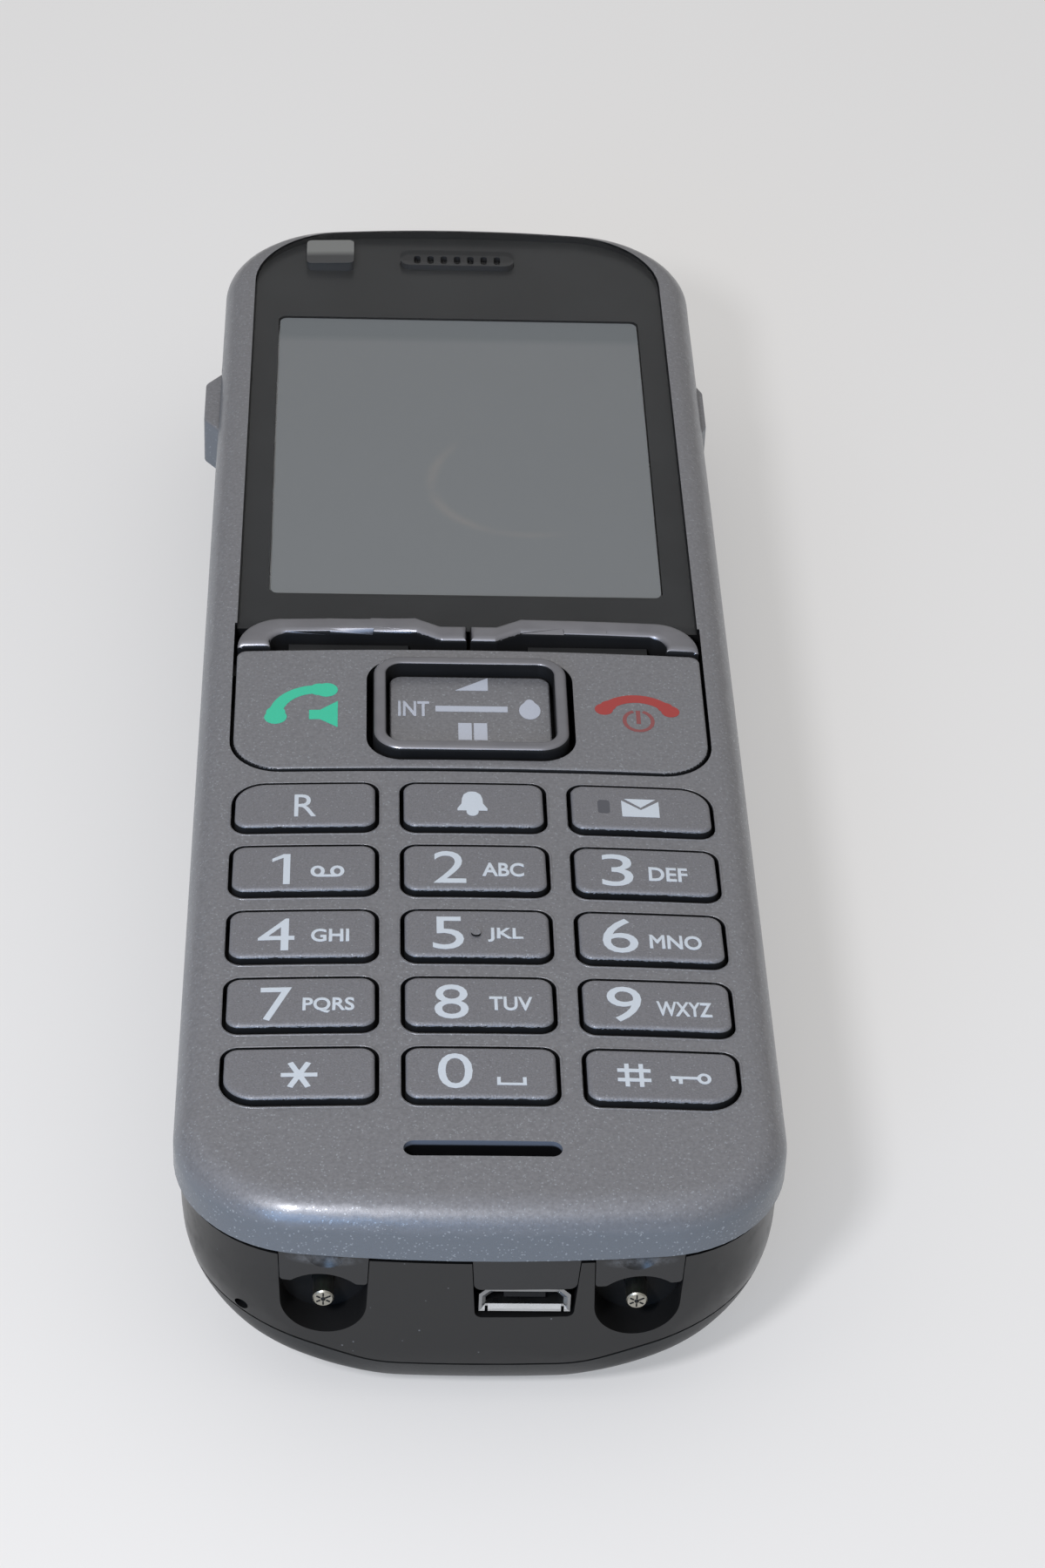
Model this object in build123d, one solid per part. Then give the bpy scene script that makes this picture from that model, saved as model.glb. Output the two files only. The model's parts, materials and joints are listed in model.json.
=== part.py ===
from build123d import *
import os
from math import cos, hypot, radians, sin, sqrt, tan

# A cordless telephone handset lying on its back. Millimetres.
# x runs across it, y from the microphone end to the earpiece end, z up from the surface it lies on.

# Whole body
body_length = 156.0
body_depth = 23.0
low_half_width = 25.45
width_taper = 0.6
low_end_bow = 150.0
high_end_bow = 200.0
low_corner = 11.5
high_corner = 12.0
crown_radius = 500.0

# Seam between the front cover and the lower housing
split_height = 17.1
seam_groove = 0.7
shell_inset = 0.4
tongue_inset = 0.95
tongue_wall = 0.85
tongue_height = 1.9
tongue_gap = 0.12

# Front cover
cover_wall = 1.9
cover_skin = 2.0
cover_edge_radius = 2.8

# Hull of the lower housing
hull_flat_half = 8.4
hull_slope = 25.0
bilge_radius = 10.0
hull_side_draft = 0.3
hull_end_draft = 0.6
hull_end_radius = 6.0
hull_stations = 12
hull_station_spread = 1.5
keel_corner = 4.0
housing_wall = 2.3
housing_floor = 2.0

# Battery cover
door_wall = 1.5
door_gap = 0.2
door_speaker_space = 30.0
door_seam_height = 4.9
door_seam_slope = 20.0
release_hole_radius = 0.55
release_hole_depth = 0.8
release_hole_x = 19.6
release_hole_rise = 0.9
door_rib_length = 9.0
door_rib_width = 0.9
door_rib_height = 2.2
door_rib_x = 15.0
door_rib_rises = (38.0, 68.0)
door_rib_gap = 0.25
pocket_wall = 1.4

# Display lens and what lies under it
lens_side_margin = 3.25
lens_end_margin = 2.0
lens_thickness = 1.15
lens_gap = 0.1
lens_edge = 0.25
window_side_margin = 3.25
window_low_margin = 6.1
window_high_margin = 10.05
window_corner = 0.8
panel_gap = 0.15
display_frame_margin = 1.6
display_frame_depth = 1.6
display_panel_recess = 0.15
flex_width = 10.5
flex_thickness = 0.3
flex_fold = 3.2

# Earpiece slot and receiver
ear_slot_width = 12.4
ear_slot_height = 2.3
ear_slot_drop = 7.4
ear_mesh_gap = 0.08
ear_mesh_thickness = 0.6
ear_mesh_slots = 7
ear_mesh_slot_width = 0.7
receiver_width = 15.0
receiver_height = 7.0
receiver_depth = 2.4
receiver_corner = 2.3
receiver_rim = 1.2
receiver_dish = 0.6

# Lamp window beside the earpiece
lamp_width = 5.1
lamp_height = 4.8
lamp_centre_x = -13.75
lamp_drop = 9.0
lamp_corner = 0.6
lamp_gap = 0.12
lamp_rim = 0.7

# Keypad grid
key_side_margin = 3.7
key_column_gap = 1.8
key_row_gap = 1.65
key_opening_height = 7.3
key_opening_corner = 1.55
grid_corner = 3.1
first_row_rise = 16.55
key_gap = 0.35
key_proud = 0.47
key_lean = 3.5
key_top_edge = 0.4
key_flange_reach = 0.45
key_flange_top_gap = 0.3
key_flange_thickness = 1.2
plunger_radius = 1.3
nub_radius = 0.42
nub_height = 0.25
nub_x = -0.1
nub_y = -0.2
message_window_width = 1.1
message_window_height = 2.1
message_window_x = -3.35
message_window_depth = 0.6
message_window_corner = 0.35

# Call and end panel round the navigation key
panel_side_margin = 3.55
panel_row_gap = 1.95
panel_length = 18.3
panel_low_corner = 4.5
panel_high_corner = 1.0
panel_edge_gap = 0.3
panel_proud = 0.2
panel_top_edge = 0.35
panel_plunger_x = 14.5
panel_flange_gap = 0.75
panel_flange_thickness = 1.0
panel_flange_width = 4.5
panel_flange_half = 3.4

# Softkeys
soft_band = 4.65
soft_ridge = 2.3
soft_proud = 0.75
soft_top_edge = 0.6
soft_end_gap = 0.35
soft_lens_gap = 0.12
soft_dip = 1.35
soft_dip_start = 5.0
soft_dip_end = 2.6
soft_tail = 4.35
soft_leg = 3.1
soft_bend = 4.1
soft_inner_bend = 1.5
soft_thickness = 3.6
soft_flange_past_lens = 0.5
soft_flange_inner = 7.0
soft_flange_margin = 2.9

# Dark bezel that shows between the softkeys and the panel
bezel_panel_gap = 0.2
bezel_soft_gap = 0.23
bezel_dip_gap = 0.7
bezel_drop = 1.0
bezel_base_drop = 1.5
bezel_base_thickness = 1.1
bezel_end_gap = 0.35

# Navigation key
nav_width = 18.05
nav_height = 14.25
nav_rise = 8.9
nav_corner = 2.7
nav_wall = 1.2
nav_proud = 1.1
nav_rim = 0.5
nav_inner_rim = 0.3
nav_gap = 0.62
nav_plate_drop = 1.35
nav_plate_gap = 0.3
nav_plate_thickness = 1.2
nav_floor = 0.8
nav_floor_gap = 0.35
nav_hole_radius = 2.4
nav_seat_gap = 0.3
nav_seat_thickness = 1.0
nav_nub_reach = 4.4
nav_nub_radius = 0.8
nav_nub_gap = 0.35

# Microphone slot
mic_slot_width = 13.0
mic_slot_height = 1.8
mic_slot_rise = 7.8

# Circuit board and the dome sheet
cavity_depth = 3.2
board_thickness = 1.0
board_inset = 3.4
board_low_margin = 4.8
board_high_margin = 12.0
board_standoff = 0.4
board_support_drop = 2.0
standoff_radius = 2.4
dome_sheet_thickness = 0.3
dome_sheet_margin = 0.6
dome_height = 0.4
dome_radius = 2.3
dome_clearance = 0.5
shield_width = 32.0
shield_height = 2.4
shield_sheet_gap = 5.6
shield_socket_gap = 3.0
shield_corner = 1.0

# Charging contacts in the end wall
contact_x = 12.87
contact_drop = 0.33
well_width = 7.1
well_draft = 2.0
well_floor = 8.4
well_depth = 3.6
pin_radius = 0.875
pin_edge = 0.12
pin_recess = 1.1
pin_bore_gap = 0.06
pin_tail_width = 1.6
pin_tail_thickness = 0.5
channel_width = 2.6
channel_length = 1.8
channel_web = 0.7
tab_gap = 0.08
tab_side_drop = 1.0
tab_rise = 3.32
tab_tip_width = 0.9
tab_corner = 0.3
tab_scoop_radius = 2.6
tab_scoop_depth = 1.05
insert_bar_depth = 1.7
insert_bar_rise = 0.4

# Micro socket in the end wall
usb_x = 3.6
usb_board_drop = 0.8
usb_notch_top_half = 4.45
usb_notch_low_half = 4.05
usb_notch_drop = 1.75
usb_notch_corner = 0.65
usb_notch_depth = 6.2
usb_tab_rise = 0.6
usb_shell_width = 6.9
usb_shell_height = 1.9
usb_shell_wall = 0.25
usb_shell_length = 5.0
usb_shell_chamfer = 0.6
usb_flare = 0.3
usb_lip_half = 3.0
usb_brow_half = 2.55
usb_lip_cut = 0.25
usb_recess = 0.2
usb_tongue_width = 3.4
usb_tongue_height = 0.6
usb_back_wall = 1.0
usb_foot_width = 5.0

# Side key and headset socket
side_piece_drop = 32.6
side_piece_height = 5.2
side_opening_gap = 0.25
rocker_length = 12.0
rocker_crest_length = 6.8
rocker_proud = 1.55
rocker_depth = 2.4
rocker_edge = 0.5
flap_length = 10.4
flap_crest_length = 6.4
flap_proud = 0.55
flap_depth = 1.1
flap_edge = 0.35
jack_bore_radius = 1.25
jack_body_width = 6.0
jack_body_height = 3.8
jack_body_length = 11.0
jack_collar_length = 1.1
jack_face_gap = 0.3

# Loudspeaker, motor and antennas
speaker_radius = 10.0
speaker_depth = 4.2
speaker_magnet_radius = 8.0
speaker_dish = 0.6
speaker_drop = 26.0
speaker_seat = 4.6
speaker_seat_wall = 1.1
speaker_seat_lip = 1.4
speaker_ledge = 1.2
speaker_fit = 0.1
speaker_slots = 5
speaker_slot_pitch = 2.4
speaker_slot_width = 1.1
speaker_slot_length = 13.0
motor_radius = 3.0
motor_length = 12.0
motor_side_margin = 11.45
motor_door_gap = 8.0
weight_radius = 2.7
weight_length = 3.0
weight_gap = 0.4
shaft_radius = 0.6
antenna_side_margin = 10.45
antenna_length = 12.0
antenna_width = 2.0
antenna_thickness = 0.3
antenna_height = 3.2

# Microphone capsule and its boot
mic_radius = 2.0
mic_thickness = 1.5
mic_drop = 0.75
boot_radius = 3.1

# Battery cells and their contacts
cell_radius = 5.2
cell_length = 43.6
cell_edge = 0.5
cell_nub_radius = 1.9
cell_nub_length = 0.9
cell_gap = 0.3
bay_rise = 52.0
bay_half_length = 24.4
bay_roof_skin = 1.0
leaf_width = 7.0
leaf_height = 6.5
leaf_thickness = 0.3
leaf_bow = 1.2

# Case screws at the microphone end
screw_side_margin = 11.95
screw_rise = 8.6
screw_radius = 1.0
screw_head_radius = 1.9
screw_head_height = 1.3
screw_seat = 8.6
screw_bore_gap = 0.15
screw_end_gap = 1.15
boss_radius = 2.5
screw_socket_width = 1.0
screw_socket_depth = 0.8

# Small working clearances
cut_past = 2.0
seat_gap = 0.1

# Widths and lengths that follow from the sizes above
high_half_width = low_half_width - width_taper
low_end_y = -body_length / 2
high_end_y = body_length / 2
key_opening_width = (2 * (low_half_width - key_side_margin) - 2 * key_column_gap) / 3
key_column_pitch = key_opening_width + key_column_gap
key_row_pitch = key_opening_height + key_row_gap
panel_half_width = low_half_width - panel_side_margin
soft_outer = panel_half_width + panel_edge_gap - soft_end_gap
bezel_half = low_half_width - cover_wall - bezel_end_gap
window_width = 2 * (low_half_width - lens_side_margin - window_side_margin)
motor_x = low_half_width - motor_side_margin
antenna_x = low_half_width - antenna_side_margin
screw_x = low_half_width - screw_side_margin

# Heights that follow
cover_bottom = split_height + seam_groove
cover_ceiling = body_depth - cover_skin
lens_seat = body_depth - lens_thickness
cavity_floor = split_height - cavity_depth
board_bottom = cavity_floor + board_standoff
board_top = board_bottom + board_thickness
dome_top = board_top + dome_sheet_thickness + dome_height
plunger_end = dome_top + dome_clearance
key_flange_top = cover_ceiling - key_flange_top_gap
bezel_face = body_depth - bezel_drop
bezel_base_top = cover_ceiling - bezel_base_drop
bay_roof = cavity_floor - bay_roof_skin
cell_height = door_wall + door_gap + cell_gap + cell_radius
side_piece_middle = split_height + seam_groove / 2
well_centre = well_floor + well_width / 2
contact_height = well_centre - contact_drop
tab_apex = well_centre + tab_rise
usb_height = board_bottom - usb_shell_height / 2 - usb_board_drop
usb_notch_floor = usb_height - usb_notch_drop
usb_tab_low = usb_height + usb_shell_height / 2 + usb_tab_rise

key_rows = (
    ("key_star", "key_0", "key_hash"),
    ("key_7", "key_8", "key_9"),
    ("key_4", "key_5", "key_6"),
    ("key_1", "key_2", "key_3"),
    ("key_recall", "key_ring", "key_message"),
)

# Places along the body, from the microphone end
end_wall_y = low_end_y + shell_inset + hull_end_draft / 2
well_back = end_wall_y + well_depth
mic_slot_centre = low_end_y + mic_slot_rise
screw_y = low_end_y + screw_rise
board_low_end = low_end_y + board_low_margin
first_row_centre = low_end_y + first_row_rise
last_row_centre = first_row_centre + (len(key_rows) - 1) * key_row_pitch
bay_centre = low_end_y + bay_rise
panel_low = last_row_centre + key_opening_height / 2 + panel_row_gap
panel_high = panel_low + panel_length
nav_centre = panel_low + nav_rise
lens_low = panel_high + soft_band
soft_high = lens_low - soft_lens_gap
soft_low = soft_high - soft_ridge
bezel_low = panel_high + bezel_panel_gap
bezel_high = soft_low - bezel_soft_gap

# Places along the body, from the earpiece end
ear_slot_centre = high_end_y - ear_slot_drop
lamp_low = high_end_y - lamp_drop
board_high_end = high_end_y - board_high_margin
side_piece_centre = high_end_y - side_piece_drop
speaker_centre = high_end_y - speaker_drop
door_end = speaker_centre - door_speaker_space
motor_y = door_end + motor_door_gap
window_low = lens_low + window_low_margin
window_high = ear_slot_centre - ear_slot_height / 2 - window_high_margin
window_height = window_high - window_low
window_centre = (window_low + window_high) / 2

up = (0, 0, 1)
nodes = {}


def bow_depth(radius, half_chord):
    """How far an arc of this radius stands out over a chord of this half length."""
    return radius - sqrt(radius**2 - half_chord**2)


def body_outline(side_inset, end_inset, low_round, high_round, height):
    """Outline of the handset seen from the front, drawn in by the insets, at a height."""
    low_half = low_half_width - side_inset
    high_half = high_half_width - side_inset
    low_end = low_end_y + end_inset
    high_end = high_end_y - end_inset
    low_shoulder = low_end + bow_depth(low_end_bow - end_inset, low_half)
    high_shoulder = high_end - bow_depth(high_end_bow - end_inset, high_half)
    low_left = (-low_half, low_shoulder)
    low_right = (low_half, low_shoulder)
    high_left = (-high_half, high_shoulder)
    high_right = (high_half, high_shoulder)
    rim = Wire([
        ThreePointArc(low_left, (0, low_end), low_right),
        Line(low_right, high_right),
        ThreePointArc(high_right, (0, high_end), high_left),
        Line(high_left, low_left),
    ])
    face = Face(rim)
    face = face.fillet_2d(low_round, face.vertices().sort_by(Axis.Y)[:2])
    upper = [v for v in face.vertices() if hypot(abs(v.X) - high_half, v.Y - high_shoulder) < seat_gap]
    face = face.fillet_2d(high_round, upper)
    return Pos(0, 0, height) * face


def plan_face(inset, height):
    """Outline of the body moved inwards by the same inset all round."""
    return body_outline(inset, inset, low_corner - inset, high_corner - inset, height)


def plan_block(inset, bottom, top):
    """Upright block with the outline of the body moved inwards by inset."""
    return extrude(plan_face(inset, bottom), amount=top - bottom, dir=up)


def hull_half_width(height):
    """Half width of the hull at a height: flat back, slope, bilge, then a drafted side."""
    side = low_half_width - shell_inset - hull_side_draft
    turn = side - bilge_radius * (1 - sin(radians(hull_slope)))
    turn_height = (turn - hull_flat_half) * tan(radians(hull_slope))
    bilge_height = turn_height + bilge_radius * cos(radians(hull_slope))
    if height < turn_height:
        return hull_flat_half + height / tan(radians(hull_slope))
    if height < bilge_height:
        return side - bow_depth(bilge_radius, bilge_height - height)
    return side + hull_side_draft * (height - bilge_height) / (split_height - bilge_height)


def hull_end_inset(height):
    """How far the hull's end wall is drawn in at a height, by its draft and its rounded foot."""
    draft = shell_inset + hull_end_draft * (1 - height / split_height)
    if height < hull_end_radius:
        return draft + bow_depth(hull_end_radius, hull_end_radius - height)
    return draft


def hull(inset=0.0, rise=0.0):
    """Boat-shaped lower body up to the seam, or the same form drawn in and raised for a wall."""
    wires = []
    for step in range(hull_stations + 1):
        level = split_height * (step / hull_stations)**hull_station_spread
        height = rise + level * (split_height - rise) / split_height
        side = low_half_width - hull_half_width(level) + inset
        end = hull_end_inset(level) + inset
        swell = sqrt(level / split_height)
        low_round = keel_corner + (low_corner - shell_inset - inset - keel_corner) * swell
        high_round = keel_corner + (high_corner - shell_inset - inset - keel_corner) * swell
        wires.append(body_outline(side, end, low_round, high_round, height).outer_wire())
    return Solid.make_loft(wires)


def crowned(body, lift=0.0, lean=0.0, pivot=0.0):
    """Body cut to the crowned front surface, raised by lift and leant in degrees about y = pivot."""
    roller = Pos(0, 0, -crown_radius) * Rot(90, 0, 0) * Cylinder(crown_radius, 2 * body_length)
    return body & (Pos(0, pivot, body_depth + lift) * Rot(-lean, 0, 0) * roller)


def slab(width, height, corner, centre, bottom, top):
    """Upright block with a rounded rectangle for its plan."""
    sketch = Pos(centre[0], centre[1], bottom) * RectangleRounded(width, height, corner)
    return extrude(sketch, amount=top - bottom, dir=up)


def upright(sketch_points, corner, bottom, top):
    """Upright block on a polygon whose corners are all rounded alike."""
    face = Face(Wire.make_polygon(sketch_points))
    if corner > 0:
        face = face.fillet_2d(corner, face.vertices())
    return extrude(Pos(0, 0, bottom) * face, amount=top - bottom, dir=up)


def block(x_range, y_range, z_range):
    """Box between the given coordinates."""
    size = [high - low for low, high in (x_range, y_range, z_range)]
    centre = [(high + low) / 2 for low, high in (x_range, y_range, z_range)]
    return Pos(*centre) * Box(*size)


def across(radius, length, place):
    """Cylinder along y, starting at place."""
    return Pos(place[0], place[1] + length / 2, place[2]) * Rot(90, 0, 0) * Cylinder(radius, length)


def post(radius, bottom, top, x, y):
    """Upright cylinder between two heights."""
    return Pos(x, y, (bottom + top) / 2) * Cylinder(radius, top - bottom)


def soften_top(body, radius):
    """Body with the edges of its highest face rounded."""
    return fillet(body.faces().sort_by(Axis.Z)[-1].edges(), radius)


def key_places():
    """Name, column and row sign and centre of each key of the grid."""
    places = []
    for row, names in enumerate(key_rows):
        for column, name in enumerate(names):
            side = column - 1
            x = side * key_column_pitch
            y = first_row_centre + row * key_row_pitch
            last = len(key_rows) - 1
            end = -1 if row == 0 else 1 if row == last else 0
            places.append((name, side, end, x, y))
    return places


def key_face(side, end, shrink):
    """Plan of one key; the corner that is also a corner of the grid is rounder."""
    width = key_opening_width - 2 * shrink
    height = key_opening_height - 2 * shrink
    face = Face(Wire.make_rect(width, height))
    for vertex in Face(Wire.make_rect(width, height)).vertices():
        outer = side * vertex.X > 0 and end * vertex.Y > 0
        radius = (grid_corner if outer else key_opening_corner) - shrink
        near = face.vertices().sort_by_distance(vertex)[:1]
        face = face.fillet_2d(radius, near)
    return face


def key_block(side, end, shrink, x, y, bottom, top):
    """Upright block with the plan of a key, smaller by shrink all round."""
    return extrude(Pos(x, y, bottom) * key_face(side, end, shrink), amount=top - bottom, dir=up)


def nav_block(grow, bottom, top):
    """Upright block with the plan of the navigation frame, larger by grow all round."""
    plan = (nav_width + 2 * grow, nav_height + 2 * grow, nav_corner + grow)
    return slab(*plan, (0, nav_centre), bottom, top)


def panel_plan(grow, bottom, top):
    """Upright block with the plan of the call and end panel, larger by grow all round."""
    low = panel_low - grow
    high = panel_high + grow
    half = panel_half_width + grow
    face = Face(Wire.make_polygon([(-half, low), (half, low), (half, high), (-half, high)]))
    face = face.fillet_2d(panel_low_corner + grow, face.vertices().sort_by(Axis.Y)[:2])
    face = face.fillet_2d(panel_high_corner, face.vertices().sort_by(Axis.Y)[-2:])
    return extrude(Pos(0, 0, bottom) * face, amount=top - bottom, dir=up)


def lens_block(grow, bottom, top):
    """Upright block with the plan of the lens, with its tongue between the softkeys."""
    side = lens_side_margin - grow
    end = lens_end_margin - grow
    outline = body_outline(side, end, low_corner - side, high_corner - end, bottom)
    body = extrude(outline, amount=top - bottom, dir=up)
    low = lens_low - grow
    below = (bottom - cut_past, top + cut_past)
    body -= block((-low_half_width, low_half_width), (low_end_y, low), below)
    root = soft_dip_start - 2 * seat_gap + grow
    tip = soft_dip_end + seat_gap + grow
    depth = soft_dip - seat_gap / 2
    tongue = [(-root, low), (-tip, low - depth), (tip, low - depth), (root, low)]
    return body + upright(tongue, 0, bottom, top)


def lamp_block(grow, bottom, top):
    """Upright block with the plan of the lamp window, larger by grow all round."""
    centre = (lamp_centre_x, lamp_low + lamp_height / 2)
    body = slab(lamp_width + 2 * grow, lamp_height + 2 * grow, lamp_corner + grow, centre, bottom, top)
    return body & lens_block(grow - lamp_rim, bottom, top)


def ear_block(shrink, bottom, top):
    """Stadium of the earpiece slot, smaller by shrink all round."""
    height = ear_slot_height - 2 * shrink
    sketch = SlotOverall(ear_slot_width - 2 * shrink, height)
    return extrude(Pos(0, ear_slot_centre, bottom) * sketch, amount=top - bottom, dir=up)


def side_window(sign, length, height, reach):
    """Cut-out in one side wall, centred on the seam."""
    outer = low_half_width + cut_past
    x_range = (outer - reach, outer) if sign > 0 else (-outer, reach - outer)
    y_range = (side_piece_centre - length / 2, side_piece_centre + length / 2)
    z_range = (side_piece_middle - height / 2, side_piece_middle + height / 2)
    return block(x_range, y_range, z_range)


def side_windows():
    """Cut-outs for the volume key on the left and the headset flap on the right."""
    reach = cut_past + housing_wall + cut_past
    height = side_piece_height + 2 * side_opening_gap
    rocker = side_window(-1, rocker_length + 2 * side_opening_gap, height, reach)
    flap = side_window(1, flap_length + 2 * side_opening_gap, height, reach)
    return rocker + flap


def screw_places():
    """Centres of the two case screws."""
    return ((-screw_x, screw_y), (screw_x, screw_y))


def make_front_cover():
    """Lacquered shell with the openings for lens, keys, panel and microphone."""
    top = body_depth + cut_past
    cover = soften_top(crowned(plan_block(0, cover_bottom, top)), cover_edge_radius)
    cover -= plan_block(cover_wall, cover_bottom - cut_past, cover_ceiling)
    lip = tongue_inset - tongue_gap
    cover -= plan_block(lip, cover_bottom - cut_past, split_height + tongue_height + tongue_gap)
    cover -= lens_block(lens_gap, lens_seat, top)
    window = (window_width + 2 * panel_gap, window_height + 2 * panel_gap)
    cover -= slab(*window, window_corner, (0, window_centre), cover_bottom, top)
    cover -= ear_block(0, cover_bottom, top)
    cover -= panel_plan(panel_edge_gap, cover_bottom, top)
    soft_half = panel_half_width + panel_edge_gap
    cover -= block((-soft_half, soft_half), (panel_high - cut_past, lens_low), (cover_bottom, top))
    for name, side, end, x, y in key_places():
        cover -= key_block(side, end, 0, x, y, cover_bottom, top)
    # Microphone slot
    slot = Pos(0, mic_slot_centre, cover_bottom) * SlotOverall(mic_slot_width, mic_slot_height)
    cover -= extrude(slot, amount=top - cover_bottom, dir=up)
    cover -= side_windows()
    for x, y in screw_places():
        cover += post(boss_radius, board_top, cover_ceiling, x, y)
        cover -= post(screw_radius, board_top - cut_past, cover_ceiling, x, y)
    return cover


def make_display_lens():
    """Clear plate over the display, with the earpiece slot and a notch for the lamp."""
    lens = crowned(lens_block(0, lens_seat, body_depth + cut_past), -seat_gap / 2)
    lens = soften_top(lens, lens_edge)
    lens -= ear_block(0, lens_seat - cut_past, body_depth + cut_past)
    lens -= lamp_block(lamp_gap, lens_seat - cut_past, body_depth + cut_past)
    return lens


def make_lamp_window():
    """Small light guide set into the top corner of the lens."""
    return crowned(lamp_block(0, lens_seat, body_depth + cut_past))


def make_display():
    """Metal frame of the display module and the panel that shows through the lens."""
    centre = (0, window_centre)
    panel_top = lens_seat - display_panel_recess
    frame_top = cover_ceiling - seat_gap
    frame_bottom = frame_top - display_frame_depth
    margin = 2 * display_frame_margin
    plan = (window_width + margin, window_height + margin)
    frame = slab(*plan, window_corner, centre, frame_bottom, frame_top)
    panel = slab(window_width, window_height, window_corner, centre, frame_top, panel_top)
    width = (-flex_width / 2, flex_width / 2)
    fold = window_low - display_frame_margin - seat_gap
    start = fold - flex_thickness
    flex = block(width, (start, fold), (board_top, frame_bottom))
    flex += block(width, (start, fold + flex_fold), (frame_bottom - flex_thickness, frame_bottom))
    return frame, panel, flex


def make_earpiece():
    """Black mesh in the earpiece slot and the receiver behind it."""
    top = lens_seat + ear_mesh_thickness
    mesh = ear_block(ear_mesh_gap, cover_ceiling, top)
    pitch = (ear_slot_width - ear_slot_height) / ear_mesh_slots
    first = -pitch * (ear_mesh_slots - 1) / 2
    slot = SlotOverall(ear_slot_height - ear_mesh_slot_width, ear_mesh_slot_width)
    for index in range(ear_mesh_slots):
        hole = Pos(first + index * pitch, ear_slot_centre, cover_ceiling) * Rot(0, 0, 90) * slot
        mesh -= extrude(hole, amount=top - cover_ceiling, dir=up)
    bottom = cover_ceiling - receiver_depth
    centre = (0, ear_slot_centre)
    receiver = slab(receiver_width, receiver_height, receiver_corner, centre, bottom, cover_ceiling)
    rim = 2 * receiver_rim
    dish = (receiver_width - rim, receiver_height - rim, receiver_corner - receiver_rim)
    receiver -= slab(*dish, centre, cover_ceiling - receiver_dish, cover_ceiling)
    return mesh, receiver


def message_slot(x, y):
    """Upright block with the plan of the light window in the message key."""
    place = (x + message_window_x, y)
    bottom = body_depth + key_proud - bow_depth(crown_radius, abs(x)) - message_window_depth
    top = body_depth + cut_past
    return slab(message_window_width, message_window_height, message_window_corner, place, bottom, top)


def make_key(name, side, end, x, y):
    """One key: cap that leans a little, retaining flange and the plunger over its dome."""
    cap = key_block(side, end, key_gap, x, y, key_flange_top, body_depth + cut_past)
    cap = crowned(cap, key_proud, key_lean, y)
    cap = soften_top(cap, key_top_edge)
    flange_bottom = key_flange_top - key_flange_thickness
    key = cap + key_block(side, end, -key_flange_reach, x, y, flange_bottom, key_flange_top)
    key += post(plunger_radius, plunger_end, flange_bottom, x, y)
    if name == "key_5":
        top = body_depth + key_proud
        key += post(nub_radius, top - nub_height, top + nub_height, x + nub_x, y + nub_y)
    if name == "key_message":
        key -= message_slot(x, y)
    return key


def make_message_window():
    """Light guide in the message key."""
    name, side, end, x, y = key_places()[-1]
    return crowned(message_slot(x, y), key_proud, key_lean, y)


def make_call_end_key():
    """One plate round the navigation key: pressed at the left it calls, at the right it ends."""
    bottom = cover_ceiling + seat_gap
    plate = crowned(panel_plan(0, bottom, body_depth + cut_past), panel_proud)
    plate = soften_top(plate, panel_top_edge)
    plate -= nav_block(nav_gap, bottom - cut_past, body_depth + cut_past)
    flange_top = cover_ceiling - panel_flange_gap
    flange_bottom = flange_top - panel_flange_thickness
    half = panel_half_width + panel_edge_gap + key_flange_reach
    inner = panel_half_width - panel_flange_width
    rows = (nav_centre - panel_flange_half, nav_centre + panel_flange_half)
    for sign in (-1, 1):
        x_range = (sign * inner, sign * half)
        plate += block((min(x_range), max(x_range)), rows, (flange_bottom, flange_top))
        root = (sign * inner, sign * panel_half_width)
        plate += block((min(root), max(root)), rows, (flange_top, bottom))
        plate += post(plunger_radius, plunger_end, bottom, sign * panel_plunger_x, nav_centre)
    return plate


def soft_dome(sign):
    """Place of the dome and the plunger of one softkey."""
    return sign * panel_half_width / 2, (soft_high + soft_low) / 2


def soft_plan(sign):
    """Arched plan of one softkey: it bends down at its outer end and dips beside the middle."""
    inner = soft_end_gap / 2
    foot = soft_high - soft_tail
    points = [
        (soft_outer, foot),
        (soft_outer, soft_high),
        (soft_dip_start, soft_high),
        (soft_dip_end, soft_high - soft_dip),
        (inner, soft_high - soft_dip),
        (inner, soft_low - soft_dip),
        (soft_dip_end, soft_low - soft_dip),
        (soft_dip_start, soft_low),
        (soft_outer - soft_leg, soft_low),
        (soft_outer - soft_leg, foot),
    ]
    face = Face(Wire.make_polygon([(sign * x, y) for x, y in points]))
    bends = ((soft_outer, soft_high, soft_bend), (soft_outer - soft_leg, soft_low, soft_inner_bend))
    for x, y, radius in bends:
        bend = [v for v in face.vertices() if hypot(abs(v.X) - x, v.Y - y) < seat_gap]
        face = face.fillet_2d(radius, bend)
    return face


def make_softkey(sign):
    """Silver softkey under the lens, with a plunger over its dome."""
    top = body_depth + soft_proud
    bottom = top - soft_thickness
    face = soft_plan(sign)
    key = crowned(extrude(Pos(0, 0, bottom) * face, amount=soft_thickness + cut_past, dir=up), soft_proud)
    key = soften_top(key, soft_top_edge)
    x, y = soft_dome(sign)
    key += post(soft_ridge / 2 - seat_gap, plunger_end, bottom, x, y)
    x_range = (sign * soft_flange_inner, sign * (panel_half_width - soft_flange_margin))
    y_range = (soft_low + seat_gap, lens_low + soft_flange_past_lens)
    z_range = (key_flange_top - key_flange_thickness, key_flange_top)
    return key + block((min(x_range), max(x_range)), y_range, z_range)


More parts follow.
